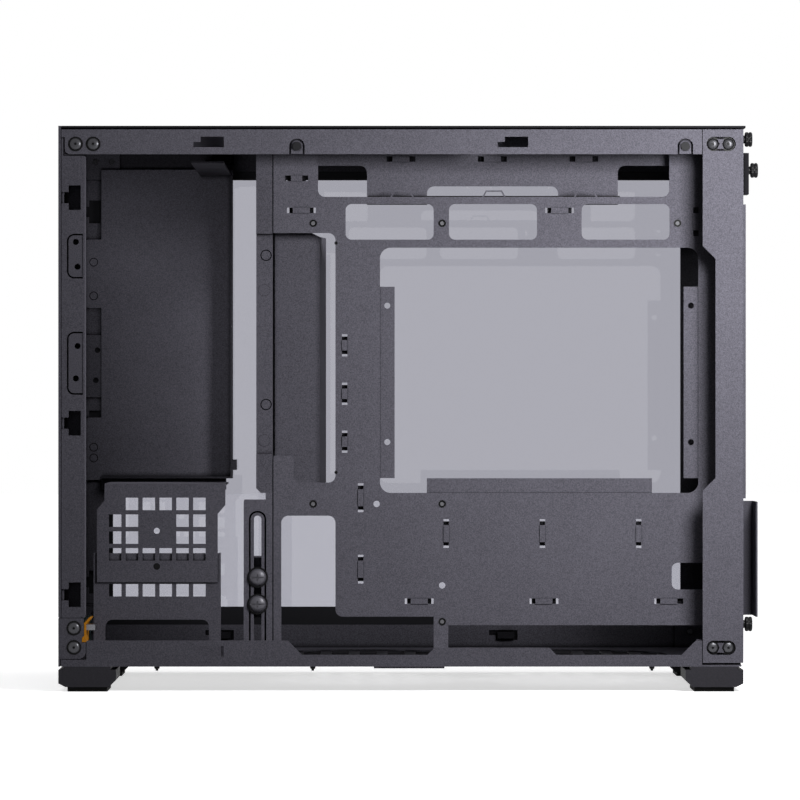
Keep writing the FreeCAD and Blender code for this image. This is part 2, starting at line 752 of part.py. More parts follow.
def make_board_insulator():
    """Orange film folded round the back of the front board, with a header on it."""
    body = new_piece("board_insulator")
    add(body, "side", near + 0.1, 30, film_outline(0))
    header = new_piece("board_header")
    front = io_flange_depth + 0.1
    level = io_panel_top - 6.7
    add(header, "side", near + 3, 14, rectangle(front, level, front + 5, level + 3.1))


def make_rear_panel():
    """Folded rear with its posts, board aperture, card slots and fan grille."""
    body = new_piece("rear_panel")
    low = foot_height + 2.1
    bevel = rear_post_width - rear_post_waist
    waist = case_length - rear_post_waist
    add(body, "front", rear_inner, sheet_metal, rectangle(near, low, far, top_outer))
    add(body, "side", near, sheet_metal, [
        (rear_post_front, low), (case_length, low), (case_length, top_outer), (rear_post_front, top_outer),
        (rear_post_front, rear_waist_top + bevel), (waist, rear_waist_top), (waist, rear_waist_bottom),
        (rear_post_front, rear_waist_bottom - bevel)])
    add(body, "side", far - sheet_metal, sheet_metal, rectangle(rear_post_front, low, case_length, top_outer))
    recess_end = recess_front + recess_length
    for sides in (near, far - sheet_metal):
        for level in (rear_top_level, rear_low_level):
            bottom = level - recess_height / 2
            top = level + recess_height / 2
            cut(body, "side", sides, sheet_metal, rectangle(recess_front, bottom, recess_end, top))
    corners = [(edge, level + sign * recess_height / 2) for edge in (recess_front, recess_end)
               for level in (rear_top_level, rear_low_level) for sign in (-1, 1)]
    round_corners(body, "side", recess_height / 2 - 0.1, corners)
    cut(body, "front", rear_inner, sheet_metal,
        rectangle(io_near, io_bottom, io_near + IO_WIDTH, io_bottom + IO_HEIGHT))
    for index in range(SLOT_COUNT):
        level = slot_level + SLOT_PITCH * index
        cut(body, "front", rear_inner, sheet_metal,
            rectangle(slot_near, level - SLOT_OPENING / 2, slot_far, level + SLOT_OPENING / 2))
    rim = io_rim
    add(body, "front", case_length, rim, rectangle(io_near - rim, io_bottom - rim, io_near,
                                                   io_bottom + IO_HEIGHT + rim))
    grille_low = fan_level - grille_pitch * (GRILLE_ROWS - 1) / 2 - grille_slot / 2
    grille_side = fan_side - grille_column / 2 * (GRILLE_COLUMNS - 1) - grille_length / 2
    slot = cut(body, "front", rear_inner, sheet_metal,
               rectangle(grille_side, grille_low, grille_side + grille_length, grille_low + grille_slot))
    repeat(body, [slot], "y", grille_column * (GRILLE_COLUMNS - 1), GRILLE_COLUMNS,
           "z", grille_pitch * (GRILLE_ROWS - 1), GRILLE_ROWS)
    return body


# Board aperture and card slots, fixed by the board standard
IO_WIDTH = 44.45
IO_HEIGHT = 158.75
SLOT_PITCH = 20.32
SLOT_OPENING = 12.06
SLOT_COUNT = 4
io_near = tray_far + standoff_height - 2.2
io_bottom = board_hole_top - BOARD_ROW_MIDDLE + 6.2
slot_level = board_hole_top - BOARD_ROW_BOTTOM + 2.4
slot_near = io_near + 3
slot_far = slot_near + slot_length
GRILLE_ROWS = 12
GRILLE_COLUMNS = 4

# Tray cut-outs, seen from the open side
tray_end = rear_inner
window_fronts = [159.8, 217.8, 292.2]
DRIVE_HOLE_PITCH = 76.6

board_columns = [case_length - board_hole_rear - offset
                 for offset in (0, BOARD_COLUMN_CORNER, BOARD_COLUMN_MIDDLE, BOARD_COLUMN_FRONT)]
board_rows = [board_hole_top - offset for offset in (0, BOARD_ROW_MIDDLE, BOARD_ROW_SLOT, BOARD_ROW_BOTTOM)]
standoff_places = [(board_columns[1], board_rows[0]), (board_columns[2], board_rows[0]),
                   (board_columns[3], board_rows[0]), (board_columns[0], board_rows[1]),
                   (board_columns[2], board_rows[1]), (board_columns[3], board_rows[1]),
                   (board_columns[2], board_rows[3]), (board_columns[0], board_rows[3])]


def tie_bridges(body, face, spots):
    """Pairs of square holes for cable ties, each with a strap that a bridge behind it carries."""
    holes = []
    straps = []
    bridges = []
    for a, b, upright, length in spots:
        ends = [(0, tie_hole), (length - tie_hole, length)]
        middle = (tie_hole, length - tie_hole)
        behind = (tie_slit, length - tie_slit)
        if upright:
            holes += [rectangle(a, b + low, a + tie_width, b + high) for low, high in ends]
            straps.append(rectangle(a, b + middle[0], a + tie_width, b + middle[1]))
            bridges.append(rectangle(a, b + behind[0], a + tie_width, b + behind[1]))
        else:
            holes += [rectangle(a + low, b, a + high, b + tie_width) for low, high in ends]
            straps.append(rectangle(a + middle[0], b, a + middle[1], b + tie_width))
            bridges.append(rectangle(a + behind[0], b, a + behind[1], b + tie_width))
    cut(body, "side", face, sheet_metal, *holes)
    add(body, "side", face - tie_rise, tie_rise + sheet_metal + tie_drop, *straps)
    add(body, "side", face + sheet_metal + tie_drop, sheet_metal, *bridges)


def make_motherboard_tray():
    """Folded tray: outline, windows, drive tabs, board holes and cable-tie bridges."""
    body = new_piece("motherboard_tray")
    leg = tray_front + leg_width
    add(body, "side", tray_near, sheet_metal, [
        (tray_front, gap_top), (gap_rear, gap_top), (gap_rear, gap_bottom), (gap_front, gap_bottom),
        (gap_front, ledge_level), (tray_front, ledge_level), (tray_front, floor_top), (leg, floor_top),
        (leg, bay_top), (gap_rear, bay_top), (gap_rear, tray_low_front), (foot_front, tray_low_front),
        (foot_front, floor_top), (foot_rear, floor_top), (foot_rear, tray_low_rear), (tray_end, tray_low_rear),
        (tray_end, top_inner), (notch_rear, top_inner), (notch_rear, notch_bottom), (notch_front, notch_bottom),
        (notch_front, top_inner), (tray_front, top_inner)])
    round_corners(body, "side", corner_radius, [
        (gap_rear, gap_top), (gap_rear, gap_bottom), (gap_front, gap_bottom), (leg, bay_top),
        (gap_rear, bay_top),
        (gap_rear, tray_low_front), (notch_rear, notch_bottom), (notch_front, notch_bottom)])
    small_front = opening_rear - 14.9
    window_top = window_bottom + window_height
    windows = [rectangle(front, window_bottom, front + window_length, window_top) for front in window_fronts]
    windows.append(rectangle(small_front, 56.1, small_front + 22, 71.1))
    cut(body, "side", tray_near, sheet_metal, *windows)
    corners = [(front + along, level) for front in window_fronts for along in (0, window_length)
               for level in (window_bottom, window_top)]
    corners += [(small_front + along, level) for along in (0, 22) for level in (56.1, 71.1)]
    round_corners(body, "side", corner_radius * 0.85, corners)
    cut(body, "side", tray_near, sheet_metal,
        rectangle(opening_front, opening_bottom, opening_rear, opening_top))
    round_corners(body, "side", corner_radius * 1.5, [(edge, level) for edge in (opening_front, opening_rear)
                                                      for level in (opening_bottom, opening_top)])
    add(body, "side", tray_near + sheet_metal / 2, drive_tab_step,
        rectangle(opening_front - drive_tab_lap, drive_tab_bottom, opening_front + drive_tab, drive_tab_top),
        rectangle(opening_rear - drive_tab, drive_tab_bottom, opening_rear + drive_tab_lap, drive_tab_top),
        rectangle(205.4, opening_bottom - drive_tab_lap, 331.7, opening_bottom + drive_tab))
    tab_holes = [(place_x, 138.8 + rise) for place_x in (opening_front + drive_tab / 2,
                                                         opening_rear - drive_tab / 2)
                 for rise in (0, DRIVE_HOLE_PITCH)]
    drill(body, "side", tray_near, tray_depth / 4, drive_hole, tab_holes)
    drill(body, "side", tray_near, sheet_metal, standoff_bore + 0.6, standoff_places)
    drill(body, "side", tray_near, sheet_metal, standoff_bore + 0.2,
          [(board_columns[2] - 36.8, board_rows[1]), (board_columns[2], board_rows[2])])
    spots = [(125.8, 285.3, False, tie_length * 0.8), (354.8, 254.4, True, tie_length)]
    spots += [(along, 267.3, False, tie_length) for along in (126.9, 271.8)]
    spots += [(along, 48.0, False, tie_length) for along in (193.0, 263.0, 333.0)]
    spots += [(157.7, level, True, tie_length * 0.77) for level in (132.8, 159.7, 186.9)]
    spots += [(166.7, level, True, tie_length) for level in (59.4, 99.5)]
    spots += [(along, 79.4, True, tie_length) for along in (214.7, 268.7, 322.7)]
    tie_bridges(body, tray_near, spots)
    add(body, "side", tray_far, bracket_setback - sheet_metal, rectangle(
        bracket_low_front, notch_bottom - sheet_metal, bracket_cut_front, notch_bottom), rectangle(
        bracket_cut_rear, notch_bottom - sheet_metal, bracket_low_rear, notch_bottom))
    return body


def make_top_fan_bracket():
    """Plate that hangs from the top, set back behind the tray's upper notch."""
    body = new_piece("top_fan_bracket")
    face = tray_near + bracket_setback
    shoulder = notch_bottom + 18
    low = notch_bottom - 4
    arch = notch_bottom + 6.4
    front = notch_front - 8
    rear = notch_rear + 8
    add(body, "side", face, sheet_metal, [
        (front, top_inner), (front, shoulder), (bracket_low_front, shoulder), (bracket_low_front, low),
        (bracket_cut_front, low), (bracket_cut_front, arch), (bracket_cut_rear, arch), (bracket_cut_rear, low),
        (bracket_low_rear, low), (bracket_low_rear, shoulder), (rear, shoulder), (rear, top_inner)])
    round_corners(body, "side", corner_radius, [(bracket_low_front, shoulder), (bracket_low_rear, shoulder),
                                                (bracket_cut_front, arch), (bracket_cut_rear, arch)])
    tie_bridges(body, face, [(along, 296.6, False, tie_length) for along in (182.8, 234.3, 285.8)])
    add(body, "side", face, 12, rectangle(front, top_inner - sheet_metal, rear, top_inner))
    return body


def make_psu_divider():
    """Upright channel beside the tray with a recessed middle and screw bosses."""
    body = new_piece("psu_divider")
    rear = tray_front - 0.6
    back = tray_near + divider_depth
    front_inside = divider_front + sheet_metal
    rear_inside = rear - sheet_metal
    profile = [(divider_front, tray_near), (rear, tray_near), (rear, back), (rear_inside, back),
               (rear_inside, tray_near + sheet_metal), (front_inside, tray_near + sheet_metal),
               (front_inside, back), (divider_front, back)]
    add(body, "floor", divider_bottom, top_inner - divider_bottom, profile)
    cut(body, "side", tray_near, divider_recess, rectangle(divider_front, ledge_level + 1, rear, gap_top - 0.4))
    add(body, "side", tray_near + divider_recess, sheet_metal,
        rectangle(divider_front, ledge_level - 3, rear, gap_top + 3))
    middle = rear - 3.6
    cut_rings(body, "side", tray_near + divider_recess, 0.8, boss_radius, boss_radius - 0.6,
              [(middle, gap_top - 12.4), (middle, ledge_level + 28.8)])
    add_discs(body, "side", tray_near + divider_recess - 0.25, 0.4, boss_radius,
              [(middle - 1.1, gap_top - 31.9), (middle - 1.1, ledge_level + 8.6)])
    add(body, "side", back - sheet_metal, sheet_metal,
        rectangle(rear_inside, divider_bottom, tray_front + 5, top_inner))
    cut(body, "side", tray_near, divider_depth, [
        (divider_front, divider_bottom), (divider_front + 2.6, divider_bottom),
        (divider_front, divider_bottom + 2.6)])
    lips = [rectangle(rear_inside, gap_top + 4, tray_front + 7, top_inner),
            rectangle(rear_inside, divider_bottom, tray_front + 7, ledge_level - 2)]
    add(body, "side", tray_far, sheet_metal, *lips)
    return body


def make_cable_shroud():
    """Folded cover behind the tray's tall cut-out."""
    body = new_piece("cable_shroud")
    face = tray_near + bracket_setback
    rear = gap_rear - 9
    front = tray_front + 0.6
    low = gap_bottom - 8
    top = gap_top + 1.6
    add(body, "side", face, sheet_metal, [(front, low), (rear, low), (rear, top - shroud_turn),
                                          (rear - 2 * shroud_turn, top),
                                          (front, top)])
    add(body, "side", tray_far, bracket_setback - sheet_metal,
        rectangle(front + 8, top - sheet_metal, rear - 7, top),
        rectangle(gap_front, low, rear, low + sheet_metal))
    flange = [(rear - sheet_metal, face), (rear, face), (rear + shroud_turn, face + 24),
              (rear + shroud_turn - sheet_metal, face + 24)]
    add(body, "floor", low, top - shroud_turn - low, flange)
    return body


def make_psu_cover():
    """Plain plate that hides the power supply bay from the glass side."""
    body = new_piece("psu_cover")
    face = far - sheet_metal * 2 - pocket_step
    add(body, "side", face, sheet_metal,
        rectangle(psu_cover_front, psu_cover_bottom, psu_cover_rear, top_rail_bottom + 0.8))
    add(body, "side", face, sheet_metal, rectangle(3.3, 217.6, psu_cover_front, 258.4),
        rectangle(3.3, psu_cover_bottom - 1.3, psu_cover_front, 152.2))
    round_corners(body, "side", corner_radius * 0.6, [(3.3, level) for level in (217.6, 258.4, 152.2)])
    cut_rings(body, "side", face, 0.6, boss_radius - 0.6, boss_radius - 1.1,
              [(8.6, level) for level in (244.9, 224.8, 134.5, 128.1)])
    add(body, "side", face, sheet_metal,
        rectangle(psu_cover_front, psu_cover_bottom - psu_cover_skirt, psu_cover_rear - 4, psu_cover_bottom))
    add(body, "side", face - psu_cover_flange, psu_cover_flange,
        rectangle(psu_cover_rear - sheet_metal, 121.2, psu_cover_rear + 2.4, 127.2))
    shelf = top_rail_bottom - 2.8
    add(body, "side", face - psu_bracket_depth, psu_bracket_depth,
        rectangle(psu_cover_rear - 19.5, shelf, psu_cover_rear - sheet_metal, shelf + sheet_metal))
    add(body, "side", face - psu_cover_flange, psu_cover_flange,
        rectangle(psu_cover_front, psu_cover_bottom, psu_cover_rear, psu_cover_bottom + sheet_metal))
    add(body, "side", face - psu_cover_flange, psu_cover_flange,
        rectangle(psu_cover_rear - sheet_metal, psu_cover_bottom, psu_cover_rear, top_rail_bottom - 4))
    return body


SHELF_ROWS = [(100.6, (1, 2, 3, 4, 5)), (91.2, (0, 1, 4, 5)), (81.7, (0, 1, 4, 5)), (72.3, (0, 1, 2, 3, 4, 5))]
BASE_ROW = 52.1
shelf_face = tray_near + sheet_metal


def square(column, level):
    front = square_front + square_pitch * column
    return rectangle(front, level, front + square_hole, level + square_hole)


def make_psu_shelf():
    """Upper plate of the power supply support, folded back into a shelf."""
    body = new_piece("psu_shelf")
    add(body, "side", shelf_face, sheet_metal, [
        (shelf_front, shelf_bottom), (shelf_rear, shelf_bottom), (shelf_rear, shelf_top - 17),
        (shelf_rear + shelf_shift, shelf_top - 12), (shelf_rear + shelf_shift, shelf_top),
        (shelf_front + shelf_shift, shelf_top), (shelf_front + shelf_shift, shelf_top - 9.5),
        (shelf_front, shelf_top - 14.5)])
    add(body, "side", shelf_face, shelf_depth, rectangle(
        shelf_front + shelf_shift, shelf_top - sheet_metal, shelf_rear + shelf_shift, shelf_top))
    for level, columns in SHELF_ROWS:
        cut(body, "side", shelf_face, sheet_metal, *[square(column, level) for column in columns])
    drill(body, "side", shelf_face, sheet_metal, drive_hole, [(53.8, 89), (53.8, 69)])
    return body


def make_psu_shelf_base():
    """Lower plate of the power supply support, standing on the floor."""
    body = new_piece("psu_shelf_base")
    face = shelf_face + sheet_metal
    front = shelf_front - 1.9
    rear = shelf_rear + 1.4
    top = shelf_bottom + 16.3
    profile = [(front, face), (rear, face), (rear, face + shelf_base_depth),
               (rear - sheet_metal, face + shelf_base_depth),
               (rear - sheet_metal, face + sheet_metal), (front + sheet_metal, face + sheet_metal),
               (front + sheet_metal, face + shelf_base_depth), (front, face + shelf_base_depth)]
    add(body, "floor", floor_top, top - floor_top, profile)
    slot_top = 39.1
    cut(body, "side", face, sheet_metal, rectangle(front + 6.6, 24, rear - 6.3, slot_top))
    round_corners(body, "side", corner_radius, [(front + 6.6, slot_top), (rear - 6.3, slot_top)])
    cut(body, "side", face, sheet_metal, *[square(column, BASE_ROW) for column in range(6)])
    drill(body, "side", face, sheet_metal, drive_hole, [(53.8, 69)])
    add(body, "side", face, 30, rectangle(front, floor_top, rear, floor_top + sheet_metal))
    return body


clamp_levels = [47.9, 62.9]


def make_support_rail():
    """Slotted upright: a deep groove follows the slot, and a block is clamped behind it."""
    body = new_piece("support_rail")
    rear = tray_front - 0.6
    outer = clamp_slot / 2 + track_groove * 2.7
    inner = clamp_slot / 2 + track_groove * 1.7
    low = floor_top
    slot_top = support_top - 9.1
    add(body, "side", tray_near, sheet_metal, [
        (support_front, low), (rear, low), (rear, divider_bottom - port_gap / 4),
        (rear - 3.8, divider_bottom - port_gap / 4),
        (rear - 3.8, support_top), (support_front, support_top)])
    add(body, "side", tray_far, sheet_metal, rectangle(rear - 2, low, tray_front + 2.4,
                                                       divider_bottom - port_gap / 4))
    round_corners(body, "side", sheet_metal, [(support_front, support_top)])
    block_rear = clamp_middle + outer + 1
    block_front = clamp_middle - outer - 1
    add(body, "side", tray_far, track_depth, rectangle(block_front, low, block_rear, support_top - 4))
    groove_top = slot_top + track_groove * 2.7
    core_top = slot_top + track_groove * 1.7
    cut(body, "side", tray_near, track_depth, [
        (clamp_middle - outer, low), (clamp_middle - inner, low), (clamp_middle - inner, core_top),
        (clamp_middle + inner, core_top), (clamp_middle + inner, low), (clamp_middle + outer, low),
        (clamp_middle + outer, groove_top), (clamp_middle - outer, groove_top)])
    round_corners(body, "side", inner - 0.2, [(clamp_middle - inner, core_top),
                                              (clamp_middle + inner, core_top)])
    round_corners(body, "side", outer - 0.2, [(clamp_middle - outer, groove_top),
                                              (clamp_middle + outer, groove_top)])
    half = clamp_slot / 2
    cut(body, "side", tray_near, track_depth + sheet_metal,
        rectangle(clamp_middle - half, low + 4, clamp_middle + half, slot_top))
    round_corners(body, "side", half - 0.1, [(clamp_middle + sign * half, level) for sign in (-1, 1)
                                             for level in (low + 4, slot_top)])
    return body


def make_support_clamp():
    """Block clamped behind the slotted upright."""
    body = new_piece("support_clamp")
    face = tray_far + track_depth + 0.3
    add(body, "side", face, 6, rectangle(clamp_middle - 4.6, clamp_bottom, clamp_middle + 4.6, clamp_top))
    add(body, "side", face, 34, rectangle(clamp_middle - 4.6, clamp_top - 2, clamp_middle + 4.6, clamp_top))
    drill(body, "side", face, 6, screw_shank + screw_clearance,
          [(clamp_middle, level) for level in clamp_levels])
    return body


def dome_screw(name, x, y, z, outward, head, height, shank, length):
    """A domed head on a plain shank: outward is minus or plus one along y."""
    curve = (head * head + height * height) / (2 * height)
    drop = curve - height
    cap = doc.addObject("Part::Sphere", name + "_cap")
    bind(cap, "Radius", curve)
    bind(cap, "Angle1", Size(0, f"(asin({drop.formula} / {curve.formula}) / 1deg)"))
    turn = FreeCAD.Rotation(FreeCAD.Vector(1, 0, 0), 90 if outward < 0 else -90)
    cap.Placement.Rotation = turn
    place(cap, x, y - outward * drop, z)
    stem = doc.addObject("Part::Cylinder", name + "_stem")
    bind(stem, "Radius", shank)
    bind(stem, "Height", length)
    stem.Placement.Rotation = FreeCAD.Rotation(FreeCAD.Vector(1, 0, 0), -90 if outward < 0 else 90)
    place(stem, x, y, z)
    screw = doc.addObject("Part::Fuse", name)
    screw.Base = cap
    screw.Tool = stem
    return screw


def group(label, members):
    """Put like pieces in one named node as separate solids."""
    joined = doc.addObject("Part::Compound", label)
    joined.Label = label
    joined.Links = members
    pieces.append(joined)
    return joined


def make_screws():
    places = [(spot, near, -1) for spot in front_top_screws + front_low_screws]
    places += [(spot, near + pocket_step, -1) for spot in rear_top_screws + rear_low_screws]
    places += [(spot, far, 1) for spot in front_top_screws + front_low_screws]
    places += [(spot, far - pocket_step, 1) for spot in rear_top_screws + rear_low_screws]
    screws = []
    for number, ((x, z), y, outward) in enumerate(places, 1):
        screws.append(dome_screw(f"frame_screw_{number}", x, y, z, outward, screw_head, screw_head_height,
                                 screw_shank, sheet_metal * 2.5))
    group("frame_screws", screws)
    clamp = [dome_screw(f"clamp_screw_{number}", clamp_middle, tray_near - 0.3, level, -1, clamp_screw_head,
                        screw_head_height * 1.8, screw_shank, track_depth + sheet_metal + 5)
             for number, level in enumerate(clamp_levels, 1)]
    group("support_screws", clamp)


def make_standoffs():
    """Board standoffs, seated in the tray's holes and bored from the board's side."""
    body = new_piece("standoffs")
    add_discs(body, "side", tray_far, standoff_height, standoff_radius, standoff_places)
    add_discs(body, "side", tray_near, sheet_metal, standoff_bore, standoff_places)
    drill(body, "side", tray_far, standoff_height, standoff_bore - 0.3, standoff_places)
    return body


def make_glass():
    body = new_piece("glass_panel")
    front = front_plate
    top = top_outer - 0.2
    add(body, "side", far + glass_gap, glass_thickness, rectangle(front, foot_height + 2, case_length, top))
    round_corners(body, "side", corner_radius / 2, [(edge, level) for edge in (front, case_length)
                                                    for level in (foot_height + 2, top)])
    for label, slot_bottom in (("glass_hooks_top", top_hook_bottom),
                               ("glass_hooks_bottom", bottom_hook_bottom)):
        strip = new_piece(label)
        low = slot_bottom - 2
        high = slot_bottom + hook_height + 2
        strip_front = hook_front - 10
        strip_rear = hook_front + hook_pitch + hook_length + 10
        add(strip, "side", far, glass_gap, rectangle(strip_front, low, strip_rear, high))
        hooks = [rectangle(start + hook_foot + 1, slot_bottom + 1, start + hook_length - 2,
                           slot_bottom + hook_height - 1)
                 for start in (hook_front, hook_front + hook_pitch)]
        add(strip, "side", far - 4, 4, *hooks)


def make_feet():
    ends = (("front", as_size(0), 1), ("rear", case_length, -1))
    for end, start, way in ends:
        for side, edge in (("right", near), ("left", far - foot_depth)):
            foot = new_piece(f"foot_{end}_{side}")
            outline = [(start, foot_height - foot_step), (start + way * 3, foot_height - foot_step),
                       (start + way * 3, foot_height), (start + way * (foot_length - 3), foot_height),
                       (start + way * (foot_length - 3), foot_height - foot_step),
                       (start + way * foot_length, foot_height - foot_step),
                       (start + way * foot_length, pad_height + foot_bevel),
                       (start + way * (foot_length - foot_bevel), pad_height),
                       (start + way * foot_bevel, pad_height),
                       (start, pad_height + foot_bevel / 2)]
            add(foot, "side", edge, foot_depth, outline)
            pad = new_piece(f"foot_pad_{end}_{side}")
            low = start + way * (foot_bevel + 1)
            high = start + way * (foot_length - foot_bevel - 1)
            add(pad, "side", edge + 2, foot_depth - 4, rectangle(low, 0, high, pad_height))


def make_slot_covers():
    """Card slot covers inside the rear, each with a slot_lip folded out through the rear."""
    for index in range(SLOT_COUNT):
        level = slot_level + SLOT_PITCH * index
        body = new_piece(f"slot_cover_{index + 1}")
        add(body, "front", rear_inner - sheet_metal, sheet_metal,
            rectangle(slot_near - 2, level - slot_cover_width / 2, slot_far - 0.5,
                      level + slot_cover_width / 2))
        add(body, "front", rear_inner - sheet_metal, slot_lip, rectangle(
            slot_far - 0.5 - sheet_metal, level - SLOT_OPENING / 2 + 0.5, slot_far - 0.5,
            level + SLOT_OPENING / 2 - 0.5))


def make_slot_clamp():
    """Folded box outside the rear that covers the lips of the slot covers."""
    body = new_piece("slot_clamp")
    low = slot_level - 4
    high = slot_level + SLOT_PITCH * (SLOT_COUNT - 1) + 2
    side = slot_far + 1
    back = case_length + rear_overhang
    add(body, "floor", low, high - low, [
        (case_length, side), (case_length + sheet_metal, side), (case_length + sheet_metal, side + 14),
        (back - sheet_metal, side + 14), (back - sheet_metal, side - 14), (back, side - 14), (back, side + 15),
        (case_length, side + 15)])
    return body


def make_rear_catch():
    """Small plate at the rear with a thumbscrew, close to the open side."""
    body = new_piece("rear_catch")
    add(body, "front", case_length, catch_plate, rectangle(near + 2, 277, near + 16, 300))
    drill(body, "front", case_length, catch_plate, shank_hole, [(near + 9, 290.6)])
    return body


def make_thumbscrews():
    spots = [(case_length, near + 8, 310 - 2.2), (case_length + catch_plate, near + 9, 290.6),
             (case_length, near + 8, 37.4), (case_length, far - 8, 310 - 2.2), (case_length, far - 8, 37.4)]
    screws = []
    for number, (x, y, z) in enumerate(spots, 1):
        knob = doc.addObject("Part::Cylinder", f"thumbscrew_{number}")
        bind(knob, "Radius", thumb_radius)
        bind(knob, "Height", thumb_length)
        knob.Placement.Rotation = FreeCAD.Rotation(FreeCAD.Vector(0, 1, 0), 90)
        place(knob, x, y, z)
        screws.append(knob)
    group("thumbscrews", screws)


def make_bottom_filter():
    """Thin dust filter under the floor with a pull filter_tab at the open side."""
    body = new_piece("bottom_filter")
    margin = fan_opening + 2
    front = bottom_fan_front - margin
    rear = bottom_fan_front + fan_pitch + margin
    low = foot_height - filter_thickness
    add(body, "floor", low, filter_thickness,
        rectangle(front, bottom_fan_side - margin, rear, bottom_fan_side + margin))
    add(body, "floor", low, filter_thickness,
        rectangle(filter_tab_middle - filter_tab / 2, near, filter_tab_middle + filter_tab / 2,
                  bottom_fan_side - margin))
    slot = cut(body, "floor", low, filter_thickness, rectangle(front + 6, bottom_fan_side - margin + 6,
                                                        front + 16, bottom_fan_side - margin + 24))
    repeat(body, [slot], "x", rear - front - 22, 14, "y", margin * 2 - 30, 5)
    return body


def make_base_studs():
    """Short studs under the floor."""
    studs = []
    for number, x in enumerate((54.8, 141.6, 330.5), 1):
        stud = doc.addObject("Part::Cylinder", f"base_stud_{number}")
        bind(stud, "Radius", stud_radius)
        bind(stud, "Height", stud_height)
        place(stud, x, near + 3, foot_height - stud_height)
        studs.append(stud)
    group("base_studs", studs)


make_bottom_panel()
make_top_panel()
make_panel_catches()
make_top_cover()
make_front_panel()
make_front_frame()
make_front_io_panel()
make_front_board()
make_ports()
make_power_button()
make_board_insulator()
make_rear_panel()
make_motherboard_tray()
make_top_fan_bracket()
make_psu_divider()
make_cable_shroud()
make_psu_cover()
make_psu_shelf()
make_psu_shelf_base()
make_support_rail()
make_support_clamp()
make_screws()
make_standoffs()
make_glass()
make_feet()
make_slot_covers()
make_slot_clamp()
make_rear_catch()
make_thumbscrews()
make_bottom_filter()
make_base_studs()
doc.recompute()

failed = [item.Label for item in doc.Objects if "Invalid" in item.State or "Error" in item.State]
failed += [piece.Label for piece in pieces if piece.Shape.isNull() or not piece.Shape.isValid()]
if failed:
    raise RuntimeError(f"these objects failed: {failed}")

os.makedirs("parts", exist_ok=True)
for piece in pieces:
    piece.Shape.exportStep(os.path.join("parts", piece.Label + ".step"))
    box = piece.Shape.BoundBox
    print(f"{piece.Label}: {len(piece.Shape.Solids)} solids, {piece.Shape.Volume:.0f} mm3, "
          f"x {box.XMin:.1f} {box.XMax:.1f} y {box.YMin:.1f} {box.YMax:.1f} z {box.ZMin:.1f} {box.ZMax:.1f}")
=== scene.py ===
from math import cos, pi, radians, sin

import bmesh
import bpy
from bpy.props import FloatProperty, FloatVectorProperty, PointerProperty
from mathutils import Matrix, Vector


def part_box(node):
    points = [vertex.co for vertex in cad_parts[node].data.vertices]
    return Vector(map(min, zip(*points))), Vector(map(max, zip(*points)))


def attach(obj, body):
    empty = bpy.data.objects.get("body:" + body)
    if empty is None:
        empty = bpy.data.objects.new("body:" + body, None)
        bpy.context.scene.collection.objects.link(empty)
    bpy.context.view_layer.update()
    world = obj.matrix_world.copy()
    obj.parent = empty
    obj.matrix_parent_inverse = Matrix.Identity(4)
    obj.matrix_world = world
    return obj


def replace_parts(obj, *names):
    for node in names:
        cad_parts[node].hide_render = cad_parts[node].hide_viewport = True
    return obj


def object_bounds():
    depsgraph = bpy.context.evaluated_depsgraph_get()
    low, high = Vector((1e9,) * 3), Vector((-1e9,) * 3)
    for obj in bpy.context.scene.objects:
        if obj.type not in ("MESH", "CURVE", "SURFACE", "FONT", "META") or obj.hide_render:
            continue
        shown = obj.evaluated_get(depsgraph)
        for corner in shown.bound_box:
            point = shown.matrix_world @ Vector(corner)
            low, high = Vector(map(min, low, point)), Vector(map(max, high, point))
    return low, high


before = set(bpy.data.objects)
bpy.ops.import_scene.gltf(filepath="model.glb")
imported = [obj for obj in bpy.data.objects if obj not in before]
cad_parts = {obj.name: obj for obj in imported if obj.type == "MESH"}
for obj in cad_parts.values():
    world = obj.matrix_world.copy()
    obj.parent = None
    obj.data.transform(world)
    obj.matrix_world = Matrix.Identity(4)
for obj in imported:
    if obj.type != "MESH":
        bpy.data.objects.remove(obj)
CAD_BOX = [list(corner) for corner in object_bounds()]

bl_info = {
    "name": "Computer Case Dressing",
    "version": (1, 0, 0),
    "blender": (4, 5, 0),
    "location": "View3D > Sidebar > Case",
    "description": "Finishes a compact computer case and sets it on a plain pale stage",
    "category": "Object",
}

# CAD nodes by finish
SHEET_STEEL = (
    "top_panel", "panel_catches", "rear_panel", "motherboard_tray", "support_rail", "support_clamp",
    "slot_clamp", "slot_cover_1", "slot_cover_2", "slot_cover_3", "slot_cover_4", "top_fan_bracket")
# Painted shade: these take a darker copy of the coat
DEEPER_SHADED_STEEL = (
    "psu_divider", "cable_shroud", "front_panel", "front_frame", "front_io_panel", "bottom_panel",
    "psu_shelf", "psu_shelf_base")
BLACK_STEEL = ("top_cover", "rear_catch", "glass_hooks_top", "glass_hooks_bottom")
CORNERS = tuple(f"{end}_{side}" for end in ("front", "rear") for side in ("right", "left"))
BLACK_PLASTIC = ("audio_jack", "power_button", "power_switch", "bottom_filter") + tuple(
    f"foot_{corner}" for corner in CORNERS)
FOOT_PADS = tuple(f"foot_pad_{corner}" for corner in CORNERS)

# Painted shade, in black tones: how dark the two steels are behind the glass, and the supply cover's near face
SHEET_FAR_SHADE, DEEPER_FAR_SHADE, COVER_NEAR_SHADE = 2.5, 6, 3

# Grain: where most values of a noise lie, and how far a finish goes from its colour
NOISE_RANGE = (0.3, 0.7)
COAT_CONTRAST, PLAIN_CONTRAST = 0.38, 0.12
BROAD_SIZE, BROAD_SHARE = 60, 0.08  # the coat's mottling: its size in grains, and its share
# Painted shade in seams and inner corners
PAINTED_SHADE_RANGE = (0.4, 0.9)  # openness of a corner that is fully darkened, and of one that isn't
EDGE_SEGMENTS, EDGE_ANGLE = 2, 50

